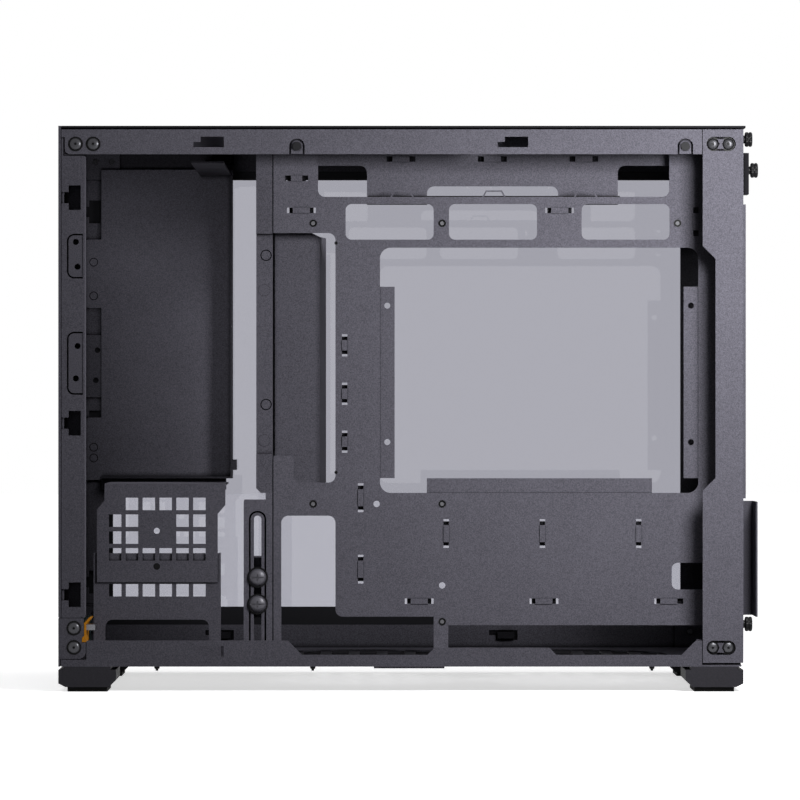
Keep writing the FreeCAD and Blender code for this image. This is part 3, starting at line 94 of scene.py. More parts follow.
# Screws, with shares of a head's radius and height
LARGE_HEAD = 1.8  # height of a clamp screw's head, in small heads
SMALL_RADIUS = 0.004  # heads below this radius have a socket
SHANK_SHARE, RING_START = 0.45, 0.97
DOME_RIM, DOME_ANGLES = 0.15, range(0, 75, 8)
SOCKET = ((0.24, 0.99), (0.2, 0.45))
SOCKET_SHADOW = ((0.21, 0.4), (0.21, 0.9), (0.1, 0.9))
DOME_TIP = 0.05
SLOT_SPARE, SLOT_HALF, SLOT_DEPTH = 0.001, 0.0004, 0.0012
CROSS_HALF, CROSS_DEPTH = 0.0018, 0.001
RING_SEGMENTS = 40
STUD_PROFILE = ((1, 0), (1, 0.7), (0.8, 0.9), (0.5, 0.9), (0.5, 1.6))
NECK_SHARE = 0.55
THUMB_HEAD = (
    (NECK_SHARE, 0), (0.85, 0), (1, 0.12), (1, 0.4), (0.93, 0.46), (0.93, 0.56), (1, 0.62), (1, 0.88),
    (0.85, 1), (0.5, 1), (0.46, 0.9))
KNURLED = (3, 4, 7, 8)  # the points of the thumbscrew's profile that carry the knurl

# The tray's bumps, its edge strip of painted shadow and its pins, and the shelf's plug, in metres
BUMPS = 3
BUMP_OUTLINE = (
    (0, 0), (0.0021, 0.0036), (0.0111, 0.0036), (0.0132, 0),
    (0.0122, 0), (0.0107, 0.0029), (0.0025, 0.0029), (0.001, 0))
BUMP_DEPTH = 0.001
SHADOW_STRIP_FRONT, SHADOW_STRIP_REAR, SHADOW_STRIP_DEPTH, SHADOW_STRIP_RISE = -0.0270, 0.1143, 0.0002, 0.0006
PIN_PROFILE = ((0.0009, -0.0004), (0.0009, 0.00003), (0.0006, 0.00005))
PLUG_ACROSS, PLUG_LEVEL = -0.1456, 0.069
PLUG_PROFILE = ((0.0019, -0.0008), (0.0019, 0.00004), (0.0016, 0.00006))

# Stage: lamps as place, aim and size, then the directions of the even lights
KEY_LAMP = ((0.255, -0.41, 0.33), (0.05, -0.1, 0.16), 0.13)
BAY_LAMP = ((-0.15, -0.085, 0.21), (-0.15, 0.1, 0.2), 0.06)
OPEN_SIDE, OVERHEAD = (0.1, 1, -0.05), (0, 0, -1)
OTHER_SIDES = (("front", (1, 0, -0.08)), ("rear", (-1, 0, -0.08)), ("glass side", (0, -1, -0.08)))
SENSOR_WIDTH = 36
FLOOR_SIZE, FLOOR_CELLS = 6, 4
WHITE = (1, 1, 1, 1)


class CaseFinish(bpy.types.PropertyGroup):
    """Sizes and colours of the case's finishes."""

    coat_colour: FloatVectorProperty(
        name="Powder coat", description="Colour of the painted sheet steel", subtype="COLOR",
        default=(0.090, 0.087, 0.106), min=0, max=1)
    coat_grain: FloatProperty(
        name="Coat grain", description="Size of the powder coat's grain", subtype="DISTANCE", unit="LENGTH",
        default=0.0005)
    coat_roughness: FloatProperty(
        name="Coat roughness", description="Roughness of the powder coat", default=0.65)
    edge_width: FloatProperty(
        name="Edge width", description="Width of the softened sheet edges", subtype="DISTANCE", unit="LENGTH",
        default=0.0003)
    # Painted shade: how far from seams and inner corners the coat is darkened, and how much
    painted_shade_reach: FloatProperty(
        name="Crease reach", description="How far seams and inner corners are darkened", subtype="DISTANCE",
        unit="LENGTH", default=0.004)
    painted_shade_depth: FloatProperty(
        name="Crease depth", description="How dark seams and inner corners get", default=0.97)
    # Painted shade: the darker copy of the coat
    deeper_painted_shade: FloatProperty(
        name="Deeper tone", description="Tone of the front's and floor's paint", default=0.84)
    # Painted shade: the far tones begin at this fold, towards the glass
    glass_fold: FloatProperty(
        name="Glass side folds", description="Where the folds behind the glass begin", subtype="DISTANCE",
        unit="LENGTH", default=0.0922)
    # Painted light: the supply cover's far side takes a paler copy of the coat
    cover_painted_light: FloatProperty(
        name="Paler tone", description="Tone of the supply cover's paint", default=0.85)
    black_tone: FloatProperty(
        name="Black tone", description="Tone of the black cover's paint", default=0.1)
    glass_tint: FloatVectorProperty(
        name="Glass tint", description="Colour of light that passes the glass", subtype="COLOR",
        default=(0.385, 0.385, 0.435), min=0, max=1)
    border_colour: FloatVectorProperty(
        name="Glass border", description="Colour of the printed border", subtype="COLOR",
        default=(0.012, 0.012, 0.014), min=0, max=1)
    border_front: FloatProperty(
        name="Border front", description="Width of the border at the front", subtype="DISTANCE", unit="LENGTH",
        default=0.0182)
    border_rear: FloatProperty(
        name="Border rear", description="Width of the border at the rear", subtype="DISTANCE", unit="LENGTH",
        default=0.0172)
    border_top: FloatProperty(
        name="Border top", description="Height of the border at the top", subtype="DISTANCE", unit="LENGTH",
        default=0.0187)
    border_bottom: FloatProperty(
        name="Border bottom", description="Height of the border at the bottom", subtype="DISTANCE",
        unit="LENGTH", default=0.0231)
    screw_colour: FloatVectorProperty(
        name="Screws", description="Colour of the dark screws", subtype="COLOR", default=(0.045, 0.045, 0.05),
        min=0, max=1)
    screw_roughness: FloatProperty(
        name="Screw gloss", description="Roughness of the screw heads", default=0.33)
    screw_height: FloatProperty(
        name="Head height", description="Height of the small round heads", subtype="DISTANCE", unit="LENGTH",
        default=0.0016)
    # Painted shadow: the dark ring round each screw head and standoff end
    shadow_ring_width: FloatProperty(
        name="Ring width", description="Width of the dark ring round a screw head", subtype="DISTANCE",
        unit="LENGTH", default=0.0009)
    shadow_ring_height: FloatProperty(
        name="Ring height", description="Thickness of the dark ring round a screw head", subtype="DISTANCE",
        unit="LENGTH", default=0.00008)
    standoff_core: FloatProperty(
        name="Standoff core", description="Radius inside the ring round a standoff's end", subtype="DISTANCE",
        unit="LENGTH", default=0.0011)
    thumb_neck: FloatProperty(
        name="Thumbscrew neck", description="Length of the neck below the knurled head", subtype="DISTANCE",
        unit="LENGTH", default=0.0014)
    knurl_depth: FloatProperty(
        name="Knurl", description="Depth of the thumbscrews' knurl", subtype="DISTANCE", unit="LENGTH",
        default=0.00012)
    tie_rise: FloatProperty(
        name="Strap rise", description="How far the tray's straps stand out", subtype="DISTANCE", unit="LENGTH",
        default=0.0005)
    notch_level: FloatProperty(
        name="Notch level", description="Height of the tray's upper notch", subtype="DISTANCE", unit="LENGTH",
        default=0.2764)
    bump_front: FloatProperty(
        name="First bump", description="Place of the first bump on the tray's edge", subtype="DISTANCE",
        unit="LENGTH", default=-0.0145)
    bump_pitch: FloatProperty(
        name="Bump pitch", description="Distance between the bumps", subtype="DISTANCE", unit="LENGTH",
        default=0.0515)
    pin_place: FloatProperty(
        name="Pin place", description="Place of the tray's small pins", subtype="DISTANCE", unit="LENGTH",
        default=-0.045)
    pin_level: FloatProperty(
        name="Pin level", description="Height of the lower pin", subtype="DISTANCE", unit="LENGTH",
        default=0.1218)
    pin_pitch: FloatProperty(
        name="Pin pitch", description="Distance between the pins", subtype="DISTANCE", unit="LENGTH",
        default=0.1287)
    plastic_colour: FloatVectorProperty(
        name="Plastic", description="Colour of the black plastic", subtype="COLOR",
        default=(0.026, 0.025, 0.030), min=0, max=1)
    film_colour: FloatVectorProperty(
        name="Film", description="Colour of the insulating film", subtype="COLOR", default=(0.42, 0.17, 0.012),
        min=0, max=1)


class StageLook(bpy.types.PropertyGroup):
    """Camera, lights and ground."""

    camera_distance: FloatProperty(
        name="Camera distance", description="Distance from the case's open side", subtype="DISTANCE",
        unit="LENGTH", default=2.7)
    camera_across: FloatProperty(
        name="Camera across", description="Place of the camera along the case", subtype="DISTANCE",
        unit="LENGTH", default=-0.0248)
    camera_height: FloatProperty(
        name="Camera height", description="Height of the camera", subtype="DISTANCE", unit="LENGTH",
        default=0.1585)
    frame_width: FloatProperty(
        name="Picture width", description="Width of the picture at the open side", subtype="DISTANCE",
        unit="LENGTH", default=0.44496)
    shift_x: FloatProperty(name="Shift across", description="Sideways shift of the picture", default=0.035)
    shift_y: FloatProperty(name="Shift up", description="Upward shift of the picture", default=0.00875)
    ground_colour: FloatVectorProperty(
        name="Ground", description="Colour of the pale floor", subtype="COLOR", default=(0.86, 0.86, 0.87),
        min=0, max=1)
    ground_bounce: FloatVectorProperty(
        name="Ground bounce", description="Colour of the light that the floor throws back", subtype="COLOR",
        default=(0.08, 0.08, 0.085), min=0, max=1)
    ground_glow: FloatProperty(
        name="Ground glow", description="Brightness of the floor in shadow", default=0.62)
    ground_light: FloatProperty(
        name="Overhead light", description="Strength of the light from above", default=1.2)
    key_power: FloatProperty(
        name="Key light", description="Power of the light at the rear right", default=3.0)
    bay_power: FloatProperty(
        name="Bay light", description="Power of the lamp in the supply bay", default=0.1)
    open_light: FloatProperty(
        name="Open side light", description="Strength of the light from the front", default=0.12)
    side_light: FloatProperty(
        name="Side light", description="Strength of the light on the other sides", default=1.0)
    sky_strength: FloatProperty(name="Sky", description="Strength of the even light", default=0.015)


def finish():
    """The sizes and colours of the finishes."""
    return bpy.context.scene.case_finish


def stage_look():
    """The settings of the camera, lights and ground."""
    return bpy.context.scene.case_stage


def set_inputs(node, values):
    """Set the unlinked inputs of a node by name."""
    for name, value in values.items():
        node.inputs[name].default_value = value


def new_material(name):
    """A material with an empty tree, its shader and its output."""
    material = bpy.data.materials.new(name)
    material.use_nodes = True
    tree = material.node_tree
    tree.nodes.clear()
    output = tree.nodes.new("ShaderNodeOutputMaterial")
    shader = tree.nodes.new("ShaderNodeBsdfPrincipled")
    tree.links.new(shader.outputs["BSDF"], output.inputs["Surface"])
    return material, tree, shader


def surface(tree):
    """The socket that a material's last shader goes to."""
    return next(node for node in tree.nodes if node.type == "OUTPUT_MATERIAL").inputs["Surface"]


def object_space(tree):
    """Coordinates that stay with the piece."""
    return tree.nodes.new("ShaderNodeTexCoord").outputs["Object"]


def object_axes(tree):
    """The same coordinates, one by one."""
    parts = tree.nodes.new("ShaderNodeSeparateXYZ")
    tree.links.new(object_space(tree), parts.inputs["Vector"])
    return parts.outputs


def maths(tree, operation, *values):
    """The result of a sum on sockets and numbers."""
    node = tree.nodes.new("ShaderNodeMath")
    node.operation = operation
    for socket, value in zip(node.inputs, values):
        if isinstance(value, bpy.types.NodeSocket):
            tree.links.new(value, socket)
        else:
            socket.default_value = value
    return node.outputs["Value"]


def grain(tree, size, detail):
    """Noise whose features are about as large as the given length."""
    noise = tree.nodes.new("ShaderNodeTexNoise")
    set_inputs(noise, {"Scale": 1 / size, "Detail": detail})
    tree.links.new(object_space(tree), noise.inputs["Vector"])
    return noise.outputs["Fac"]


def spread(tree, value, low, high, source=NOISE_RANGE):
    """Map a range of a value, such as the middle of a noise, to a range of numbers."""
    node = tree.nodes.new("ShaderNodeMapRange")
    set_inputs(node, {"From Min": source[0], "From Max": source[1], "To Min": low, "To Max": high})
    tree.links.new(value, node.inputs["Value"])
    return node.outputs["Result"]


def shade(colour, factor):
    """A colour made darker or lighter."""
    return tuple(min(1.0, channel * factor) for channel in colour)


def two_tone(tree, value, colour, contrast):
    """A ramp from a darker to a lighter tone of a colour."""
    ramp = tree.nodes.new("ShaderNodeValToRGB")
    for element, place, factor in zip(ramp.color_ramp.elements, NOISE_RANGE, (1 - contrast, 1 + contrast)):
        element.position = place
        element.color = (*shade(colour, factor), 1)
    tree.links.new(value, ramp.inputs["Fac"])
    return ramp.outputs["Color"]


def roughen(tree, shader, value, strength, distance):
    """Give a shader fine relief."""
    bump = tree.nodes.new("ShaderNodeBump")
    set_inputs(bump, {"Strength": strength, "Distance": distance})
    tree.links.new(value, bump.inputs["Height"])
    tree.links.new(bump.outputs["Normal"], shader.inputs["Normal"])


def darkened(tree, colour, level):
    """A colour times a number."""
    scale = tree.nodes.new("ShaderNodeVectorMath")
    scale.operation = "SCALE"
    tree.links.new(colour, scale.inputs[0])
    tree.links.new(level, scale.inputs["Scale"])
    return scale.outputs["Vector"]


def painted_crease_shade(tree, colour, reach, depth):
    """Painted shade: darken a colour in seams, slots and inner corners, where little light comes."""
    open_sky = tree.nodes.new("ShaderNodeAmbientOcclusion")
    open_sky.samples = 8
    open_sky.inputs["Distance"].default_value = reach
    return darkened(tree, colour, spread(tree, open_sky.outputs["AO"], 1 - depth, 1, PAINTED_SHADE_RANGE))


def powder_coat(name, near=1.0, far=1.0):
    """Fine-grained paint on sheet steel, with painted shade: its own tone on the folds behind the glass,
    another in front of them, and darker seams and corners.
    """
    look = finish()
    roughness = look.coat_roughness
    material, tree, shader = new_material(name)
    fine = grain(tree, look.coat_grain, detail=3)
    broad = grain(tree, look.coat_grain * BROAD_SIZE, detail=2)
    both = maths(tree, "MULTIPLY_ADD", broad, BROAD_SHARE, maths(tree, "MULTIPLY", fine, 1 - BROAD_SHARE))
    tone = two_tone(tree, both, look.coat_colour, COAT_CONTRAST)
    # Painted light and shade: the colour is scaled by near in front of the glass fold and by far behind it
    fold = (look.glass_fold - look.edge_width, look.glass_fold)
    tone = darkened(tree, tone, spread(tree, object_axes(tree)["Y"], near, far, fold))
    # Painted shade in seams and inner corners, on the base colour
    tree.links.new(painted_crease_shade(tree, tone, look.painted_shade_reach, look.painted_shade_depth), shader.inputs["Base Color"])
    tree.links.new(spread(tree, fine, roughness - 0.06, roughness + 0.08), shader.inputs["Roughness"])
    shader.inputs["Specular IOR Level"].default_value = 0.03
    roughen(tree, shader, fine, strength=0.3, distance=0.0001)
    return material


def plain_grain(name, colour, roughness, size, metallic=0.0):
    """A finish with a faint grain in its colour, gloss and relief."""
    material, tree, shader = new_material(name)
    fine = grain(tree, size, detail=3)
    tree.links.new(two_tone(tree, fine, colour, PLAIN_CONTRAST), shader.inputs["Base Color"])
    tree.links.new(spread(tree, fine, roughness - 0.05, roughness + 0.07), shader.inputs["Roughness"])
    set_inputs(shader, {"Metallic": metallic, "Specular IOR Level": 0.5 if metallic else 0.08})
    roughen(tree, shader, fine, strength=0.25, distance=0.00008)
    return material


def dress(names, material, edge=True):
    """Give CAD nodes a material and, if asked, softly rounded edges."""
    for name in names:
        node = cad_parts[name]
        node.data.materials.clear()
        node.data.materials.append(material)
        if edge:
            soften = node.modifiers.new("soft edges", "BEVEL")
            soften.width = finish().edge_width
            soften.segments = EDGE_SEGMENTS
            soften.limit_method = "ANGLE"
            soften.angle_limit = radians(EDGE_ANGLE)


class CASE_OT_sheet_metal(bpy.types.Operator):
    """Coat the folded sheet steel"""

    bl_idname = "case.sheet_metal"
    bl_label = "Sheet metal"

    def execute(self, context):
        look = finish()
        dark = look.black_tone
        # The near and far tones are painted light and shade on one coat; the black steel's tone is its own
        # paint
        for names, near, far in (
                (SHEET_STEEL, 1.0, dark * SHEET_FAR_SHADE),
                (DEEPER_SHADED_STEEL, look.deeper_painted_shade, dark * DEEPER_FAR_SHADE),
                (BLACK_STEEL, dark, dark),
                (("psu_cover",), dark * COVER_NEAR_SHADE, look.cover_painted_light)):
            dress(names, powder_coat(f"coat_{names[0]}", near, far))
        return {"FINISHED"}


def add_object(name, data):
    """Put a new object into the scene."""
    made = bpy.data.objects.new(name, data)
    bpy.context.scene.collection.objects.link(made)
    return made


def islands(name):
    """Lowest and highest corner of each separate solid in a CAD node."""
    shape = bmesh.new()
    shape.from_mesh(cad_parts[name].data)
    shape.transform(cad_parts[name].matrix_world)
    bmesh.ops.remove_doubles(shape, verts=shape.verts, dist=0.000001)
    left = set(shape.verts)
    boxes = []
    while left:
        edge = [left.pop()]
        found = list(edge)
        while edge:
            for link in edge.pop().link_edges:
                for vertex in link.verts:
                    if vertex in left:
                        left.remove(vertex)
                        edge.append(vertex)
                        found.append(vertex)
        boxes.append([
            Vector(pick(vertex.co[axis] for vertex in found) for axis in range(3)) for pick in (min, max)])
    shape.free()
    return boxes


def circle(shape, place, axis, radius, segments, ridge=0.0):
    """A loop of vertices round an axis, with every second one set in by the ridge."""
    across = axis.orthogonal().normalized()
    upward = axis.cross(across)
    loop = []
    for step in range(segments):
        angle = 2 * pi * step / segments
        reach = radius - ridge * (step % 2)
        spoke = across * (reach * cos(angle)) + upward * (reach * sin(angle))
        loop.append(shape.verts.new(place + spoke))
    return loop


def join_loops(shape, loops):
    """Faces between each loop of vertices and the next."""
    for first, second in zip(loops, loops[1:]):
        for step in range(len(first)):
            after = (step + 1) % len(first)
            shape.faces.new((first[step], first[after], second[after], second[step]))


def turned(shape, place, axis, profile, segments=48, ridge=0.0):
    """Turn (radius, distance) points round an axis, as on a lathe, with any ridge on the knurled ones."""
    loops = [
        circle(shape, place + axis * distance, axis, radius, segments, ridge if point in KNURLED else 0.0)
        for point, (radius, distance) in enumerate(profile)]
    join_loops(shape, loops)
    shape.faces.new(loops[0][::-1])
    shape.faces.new(loops[-1])


def ring(shape, place, axis, inner, outer, height):
    """A thin flat ring round an axis."""
    loops = [
        circle(shape, place + axis * distance, axis, radius, RING_SEGMENTS)
        for radius, distance in ((inner, 0), (outer, 0), (outer, height), (inner, height))]
    join_loops(shape, loops + loops[:1])


def block(shape, low, high):
    """Add a box between two corners."""
    made = bmesh.ops.create_cube(shape, size=1)["verts"]
    for vertex in made:
        vertex.co = [low[axis] if vertex.co[axis] < 0 else high[axis] for axis in range(3)]


def new_piece(name, shape, material, smooth=40):
    """Turn a mesh into a piece that rides on the case, with the given material."""
    bmesh.ops.recalc_face_normals(shape, faces=shape.faces)
    mesh = bpy.data.meshes.new(name)
    shape.to_mesh(mesh)
    shape.free()
    mesh.materials.append(material)
    piece = add_object(name, mesh)
    if smooth:
        mesh.shade_smooth()
        mesh.set_sharp_from_angle(angle=radians(smooth))
    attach(piece, "case")
    return piece


def carve(piece, shape):
    """Cut a shape out of a piece."""
    mesh = bpy.data.meshes.new("cutter")
    bmesh.ops.recalc_face_normals(shape, faces=shape.faces)
    shape.to_mesh(mesh)
    shape.free()
    cutter = add_object("cutter", mesh)
    cutting = piece.modifiers.new("slots", "BOOLEAN")
    cutting.object = cutter
    cutting.operation = "DIFFERENCE"
    cutting.use_self = True
    result = bpy.data.meshes.new_from_object(piece.evaluated_get(bpy.context.evaluated_depsgraph_get()))
    piece.modifiers.remove(cutting)
    piece.data = result
    bpy.data.objects.remove(cutter)


def dome(radius, height, length):
    """Profile of a round head on its shank, from the shank's end to the top of the arc."""
    shank = radius * SHANK_SHARE
    profile = [(shank, -length), (shank, 0), (radius, 0)]
    for angle in DOME_ANGLES:
        rise = DOME_RIM + (1 - DOME_RIM) * sin(radians(angle))
        profile.append((radius * cos(radians(angle)), height * rise))
    return profile


def scaled(profile, radius, height):
    """A profile given as shares of a radius and a height."""
    return [(radius * wide, height * high) for wide, high in profile]


def seat(low, high, head):
    """Where a side screw's head meets the sheet, which way it faces, and its radius."""
    middle = (low + high) / 2
    outward = Vector((0, -1 if middle[1] < 0 else 1, 0))
    face = low[1] + head if outward[1] < 0 else high[1] - head
    return Vector((middle[0], face, middle[2])), outward, (high[0] - low[0]) / 2


def turn_screws(name, head, material):
    """Round-headed screws in place of a node's plain ones: the small ones with a socket."""
    shape = bmesh.new()
    for low, high in islands(name):
        place, outward, radius = seat(low, high, head)
        top = scaled(SOCKET, radius, head) if name == "frame_screws" else [(radius * DOME_TIP, head)]
        turned(shape, place, outward, dome(radius, head, high[1] - low[1] - head) + top)
    piece = new_piece(f"{name}_turned", shape, material)
    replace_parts(piece, name)


def shadow_ring_screws(material):
    """Dark rings round the screws and standoffs, painted as the shadow line at each seat, and painted shadow on
    the floors of the sockets.
    """
    look = finish()
    shape = bmesh.new()
    for low, high in islands("frame_screws") + islands("support_screws"):
        small = (high[0] - low[0]) / 2 < SMALL_RADIUS
        head = look.screw_height * (1 if small else LARGE_HEAD)
        place, outward, radius = seat(low, high, head)
        ring(shape, place, outward, radius * RING_START, radius + look.shadow_ring_width, look.shadow_ring_height)
        if small:
            turned(shape, place, outward, scaled(SOCKET_SHADOW, radius, head), segments=24)
    for low, high in islands("standoffs"):
        middle = (low + high) / 2
        ring(shape, Vector((middle[0], low[1], middle[2])), Vector((0, -1, 0)), look.standoff_core,
             look.standoff_core + look.shadow_ring_width, look.shadow_ring_height)
    new_piece("screw_shadow_rings", shape, material)


def turn_studs(material):
    """Short stepped studs under the floor."""
    shape = bmesh.new()
    for low, high in islands("base_studs"):
        middle = (low + high) / 2
        radius = (high[0] - low[0]) / 2
        turned(shape, Vector((middle[0], middle[1], high[2])), Vector((0, 0, -1)),
               scaled(STUD_PROFILE, radius, radius))
    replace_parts(new_piece("base_studs_turned", shape, material), "base_studs")


def slot_screws():
    """A slot and a short cross slot in each of the two clamp screws."""
    shape = bmesh.new()
    for low, high in islands("support_screws"):
        middle = (low + high) / 2
        block(shape, (low[0] - SLOT_SPARE, low[1] - SLOT_SPARE, middle[2] - SLOT_HALF),
              (high[0] + SLOT_SPARE, low[1] + SLOT_DEPTH, middle[2] + SLOT_HALF))
        block(shape, (middle[0] - SLOT_HALF, low[1] - SLOT_SPARE, middle[2] - CROSS_HALF),
              (middle[0] + SLOT_HALF, low[1] + CROSS_DEPTH, middle[2] + CROSS_HALF))
    carve(bpy.data.objects["support_screws_turned"], shape)


def turn_thumbscrews(material):
    """Thumbscrews with a neck and a knurled, grooved head."""
    look = finish()
    shape = bmesh.new()
    for low, high in islands("thumbscrews"):
        middle = (low + high) / 2
        radius = (high[2] - low[2]) / 2
        neck = look.thumb_neck
        head = high[0] - low[0] - neck
        profile = [(radius * NECK_SHARE, 0)] + [
            (wide, neck + rise) for wide, rise in scaled(THUMB_HEAD, radius, head)]
        turned(shape, Vector((low[0], middle[1], middle[2])), Vector((1, 0, 0)), profile, segments=60,
               ridge=look.knurl_depth)
    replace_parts(new_piece("thumbscrews_knurled", shape, material, smooth=25), "thumbscrews")


class CASE_OT_fasteners(bpy.types.Operator):
    """Make the screws with their sockets, slots, painted shadow rings and knurls, and the studs, and finish the
    standoffs
    """

    bl_idname = "case.fasteners"
    bl_label = "Fasteners"

    def execute(self, context):
        look = finish()
        steel = plain_grain("dark_screw", look.screw_colour, look.screw_roughness, size=0.0006, metallic=0.8)
        black = plain_grain("black_oxide", shade(look.screw_colour, 0.12), roughness=0.35, size=0.0005)
        rivet = plain_grain("dark_rivet", shade(look.screw_colour, 0.35), roughness=0.5, size=0.0006)
        dress(("catch_heads",), rivet, edge=False)
        post = plain_grain("standoff_steel", (0.13, 0.13, 0.14), roughness=0.5, size=0.0005)
        dress(("standoffs",), post, edge=False)
        grey = plain_grain(
            "grey_screw", shade(look.coat_colour, 0.65), roughness=0.4, size=0.0006, metallic=0.3)
        turn_screws("frame_screws", look.screw_height, steel)
        turn_screws("support_screws", look.screw_height * LARGE_HEAD, grey)
        # The black oxide finish also paints the shadow rings and the socket shade
        shadow_ring_screws(black)
        turn_studs(black)
        slot_screws()
        turn_thumbscrews(black)
        return {"FINISHED"}


def edge_bumps(face):
    """Three thin bent loops that stand on the edge of the tray's notch."""
    look = finish()
    edge = look.notch_level
    shape = bmesh.new()
    for step in range(BUMPS):
        start = look.bump_front + look.bump_pitch * step
        rims = [
            [shape.verts.new((start + along, face + depth, edge + rise)) for along, rise in BUMP_OUTLINE]
            for depth in (0, BUMP_DEPTH)]
        join_loops(shape, rims)
        for rim in rims:
            for outer, inner in ((0, 7), (1, 6), (2, 5)):
                shape.faces.new((rim[outer], rim[outer + 1], rim[inner - 1], rim[inner]))
    new_piece("tray_edge_bumps", shape, powder_coat("coat_bumps"), smooth=0)


def dark_marks(face):
    """The tray's two pins, a dark strip along its notch painted as the shadow line there, and the shelf's plug.
    """
    look = finish()
    shape = bmesh.new()
    outward = Vector((0, -1, 0))
    for rise in (look.pin_level, look.pin_level + look.pin_pitch):
        turned(shape, Vector((look.pin_place, face, rise)), outward, PIN_PROFILE, segments=24)
    # Painted shadow: a dark strip just behind the edge of the tray's notch
    behind = face + BUMP_DEPTH
    block(shape, (SHADOW_STRIP_FRONT, behind, look.notch_level),
          (SHADOW_STRIP_REAR, behind + SHADOW_STRIP_DEPTH, look.notch_level + SHADOW_STRIP_RISE))
    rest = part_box("psu_shelf")[0][1]
    turned(shape, Vector((PLUG_ACROSS, rest, PLUG_LEVEL)), outward, PLUG_PROFILE, segments=32)
    black = plain_grain("pin_black", shade(look.plastic_colour, 0.1), roughness=0.6, size=0.0005)
    new_piece("dark_plugs_and_shadow_strip", shape, black)


class CASE_OT_tray_detail(bpy.types.Operator):
    """Add the tray's small edge bumps, its painted shadow strip and pins, and the shelf's plug"""

    bl_idname = "case.tray_detail"
    bl_label = "Tray detail"

    def execute(self, context):
        low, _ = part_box("motherboard_tray")
        face = low[1] + finish().tie_rise
        edge_bumps(face)
        dark_marks(face)
        return {"FINISHED"}


class CASE_OT_plastics(bpy.types.Operator):
    """Finish the plastic and rubber pieces and the front ports"""

    bl_idname = "case.plastics"
    bl_label = "Plastics and ports"

    def execute(self, context):
        look = finish()
        dress(BLACK_PLASTIC, plain_grain("black_plastic", look.plastic_colour, roughness=0.5, size=0.0008))
        dress(FOOT_PADS, plain_grain("foot_rubber", (0.022, 0.022, 0.022), roughness=0.8, size=0.0009))
        dress(("type_c_port", "usb_port", "board_header"),
              plain_grain("port_shell", (0.13, 0.13, 0.14), roughness=0.35, size=0.0007, metallic=1.0))
        dress(("front_io_board",),
              plain_grain("circuit_board", (0.012, 0.03, 0.022), roughness=0.4, size=0.0012))
        dress(("board_insulator",), plain_grain("orange_film", look.film_colour, roughness=0.4, size=0.002))
        return {"FINISHED"}


def mixed(tree, share, first, second):
    """Two shaders blended by a share."""
    blend = tree.nodes.new("ShaderNodeMixShader")
    for socket, value in zip(blend.inputs, (share, first, second)):
        tree.links.new(value, socket)
    return blend.outputs["Shader"]


class CASE_OT_glass(bpy.types.Operator):
    """Tint the glass and print its black border"""

    bl_idname = "case.glass"
    bl_label = "Glass"

    def execute(self, context):
        look = finish()
        low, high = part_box("glass_panel")
        material, tree, shader = new_material("tinted_glass")
        set_inputs(shader, {
            "Base Color": (*look.glass_tint, 1), "Transmission Weight": 1.0, "Roughness": 0.02, "IOR": 1.45})
        border = tree.nodes.new("ShaderNodeBsdfPrincipled")
        set_inputs(border, {
            "Base Color": (*look.border_colour, 1), "Roughness": 0.25, "Specular IOR Level": 0.03})
        axes = object_axes(tree)
        front, rear, bottom, top = (
            maths(tree, operation, axes[axis], limit) for axis, operation, limit in (
                ("X", "LESS_THAN", low[0] + look.border_front),
                ("X", "GREATER_THAN", high[0] - look.border_rear),
                ("Z", "LESS_THAN", low[2] + look.border_bottom),
                ("Z", "GREATER_THAN", high[2] - look.border_top)))
        ends = maths(tree, "MAXIMUM", front, rear)
        printed = maths(tree, "MAXIMUM", ends, maths(tree, "MAXIMUM", bottom, top))
        tree.links.new(mixed(tree, printed, shader.outputs["BSDF"], border.outputs["BSDF"]), surface(tree))
        dress(("glass_panel",), material, edge=False)
        return {"FINISHED"}


def pale_when_seen(tree, lit, pale, output):
    """Light the object with one shader, and show the pale one to the eye, to reflections and through glass."""
    path = tree.nodes.new("ShaderNodeLightPath")
    seen = path.outputs["Is Camera Ray"]
    for ray in ("Is Glossy Ray", "Is Transmission Ray"):
        seen = maths(tree, "MAXIMUM", seen, path.outputs[ray])
    tree.links.new(mixed(tree, seen, lit, pale), output)


def area_light(name, lamp, power, glossy=True):
    """A square lamp that isn't seen itself."""
    place, aim, size = lamp
    data = bpy.data.lights.new(name, "AREA")
    data.size = size
    data.energy = power
    light = add_object(name, data)
    light.location = place
    light.rotation_euler = (Vector(aim) - Vector(place)).to_track_quat("-Z", "Y").to_euler()
    light.visible_camera = False
    light.visible_transmission = False
    light.visible_glossy = glossy


def far_light(name, toward, strength, angle):
    """Even light along a direction."""
    data = bpy.data.lights.new(name, "SUN")
    data.energy = strength
    data.angle = radians(angle)
    light = add_object(name, data)
    light.rotation_euler = Vector(toward).to_track_quat("-Z", "Y").to_euler()
    light.visible_glossy = False
    light.visible_transmission = False


def add_camera():
    """A camera square on to the open side."""
    look = stage_look()
    near_side = CAD_BOX[0][1]
    data = bpy.data.cameras.new("camera")
    data.sensor_width = SENSOR_WIDTH
    data.lens = SENSOR_WIDTH * look.camera_distance / look.frame_width
    data.shift_x = look.shift_x
    data.shift_y = look.shift_y
    camera = add_object("camera", data)
    camera.location = (look.camera_across, near_side - look.camera_distance, look.camera_height)
    camera.rotation_euler = (radians(90), 0, 0)
    bpy.context.scene.camera = camera


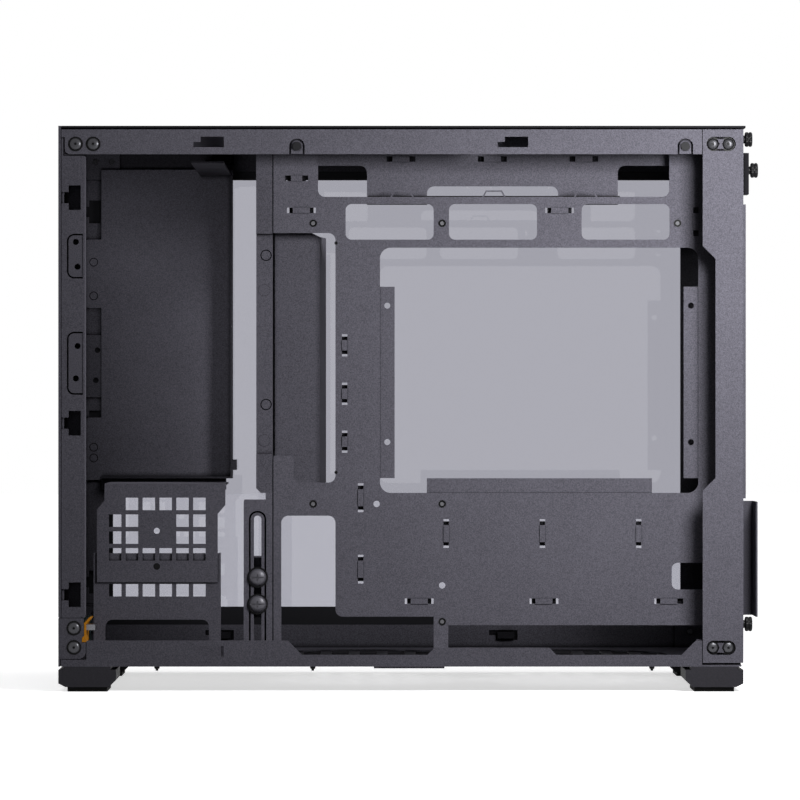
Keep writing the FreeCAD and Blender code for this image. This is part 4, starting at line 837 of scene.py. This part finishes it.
def add_floor():
    """A pale floor that takes shadows and throws little light back."""
    look = stage_look()
    mesh = bpy.data.meshes.new("floor")
    shape = bmesh.new()
    bmesh.ops.create_grid(shape, x_segments=FLOOR_CELLS, y_segments=FLOOR_CELLS, size=FLOOR_SIZE)
    shape.to_mesh(mesh)
    shape.free()
    floor = add_object("floor", mesh)
    material, tree, shader = new_material("pale_floor")
    set_inputs(shader, {"Base Color": (*look.ground_colour, 1), "Roughness": 0.9})
    glow = tree.nodes.new("ShaderNodeEmission")
    set_inputs(glow, {"Color": WHITE, "Strength": look.ground_glow})
    bright = tree.nodes.new("ShaderNodeAddShader")
    tree.links.new(shader.outputs["BSDF"], bright.inputs[0])
    tree.links.new(glow.outputs["Emission"], bright.inputs[1])
    dim = tree.nodes.new("ShaderNodeBsdfDiffuse")
    dim.inputs["Color"].default_value = (*look.ground_bounce, 1)
    pale_when_seen(tree, dim.outputs["BSDF"], bright.outputs["Shader"], surface(tree))
    mesh.materials.append(material)


def add_world():
    """A white background that lights the case only faintly."""
    world = bpy.data.worlds.new("studio")
    bpy.context.scene.world = world
    world.use_nodes = True
    tree = world.node_tree
    tree.nodes.clear()
    output = tree.nodes.new("ShaderNodeOutputWorld")
    sky = tree.nodes.new("ShaderNodeBackground")
    set_inputs(sky, {"Color": (0.97, 0.98, 1.0, 1), "Strength": stage_look().sky_strength})
    white = tree.nodes.new("ShaderNodeBackground")
    white.inputs["Color"].default_value = WHITE
    pale_when_seen(tree, sky.outputs["Background"], white.outputs["Background"], output.inputs["Surface"])


def add_lights():
    """A key lamp, a small one in the supply bay, and even light on every side."""
    look = stage_look()
    area_light("key", KEY_LAMP, look.key_power)
    area_light("supply bay", BAY_LAMP, look.bay_power, glossy=False)
    far_light("open side", OPEN_SIDE, look.open_light, angle=30)
    far_light("overhead", OVERHEAD, look.ground_light, angle=80)
    for name, toward in OTHER_SIDES:
        far_light(name, toward, look.side_light, angle=8)


class CASE_OT_stage(bpy.types.Operator):
    """Set the camera, the lights and the pale floor"""

    bl_idname = "case.stage"
    bl_label = "Stage"

    def execute(self, context):
        context.scene.view_settings.view_transform = "Standard"
        add_camera()
        add_floor()
        add_world()
        add_lights()
        return {"FINISHED"}


class CASE_PT_panel(bpy.types.Panel):
    """Lists the steps that dress the case"""

    bl_label = "Computer case"
    bl_idname = "CASE_PT_panel"
    bl_space_type = "VIEW_3D"
    bl_region_type = "UI"
    bl_category = "Case"

    def draw(self, context):
        for operator in OPERATORS:
            self.layout.operator(operator.bl_idname)


OPERATORS = (
    CASE_OT_sheet_metal, CASE_OT_fasteners, CASE_OT_tray_detail, CASE_OT_plastics, CASE_OT_glass, CASE_OT_stage)
CLASSES = (CaseFinish, StageLook) + OPERATORS + (CASE_PT_panel,)


def register():
    for item in CLASSES:
        bpy.utils.register_class(item)
    bpy.types.Scene.case_finish = PointerProperty(type=CaseFinish)
    bpy.types.Scene.case_stage = PointerProperty(type=StageLook)


def unregister():
    del bpy.types.Scene.case_stage
    del bpy.types.Scene.case_finish
    for item in reversed(CLASSES):
        bpy.utils.unregister_class(item)


def main():
    register()
    bpy.ops.case.sheet_metal()
    bpy.ops.case.fasteners()
    bpy.ops.case.tray_detail()
    bpy.ops.case.plastics()
    bpy.ops.case.glass()
    bpy.ops.case.stage()


if __name__ == "__main__":
    main()
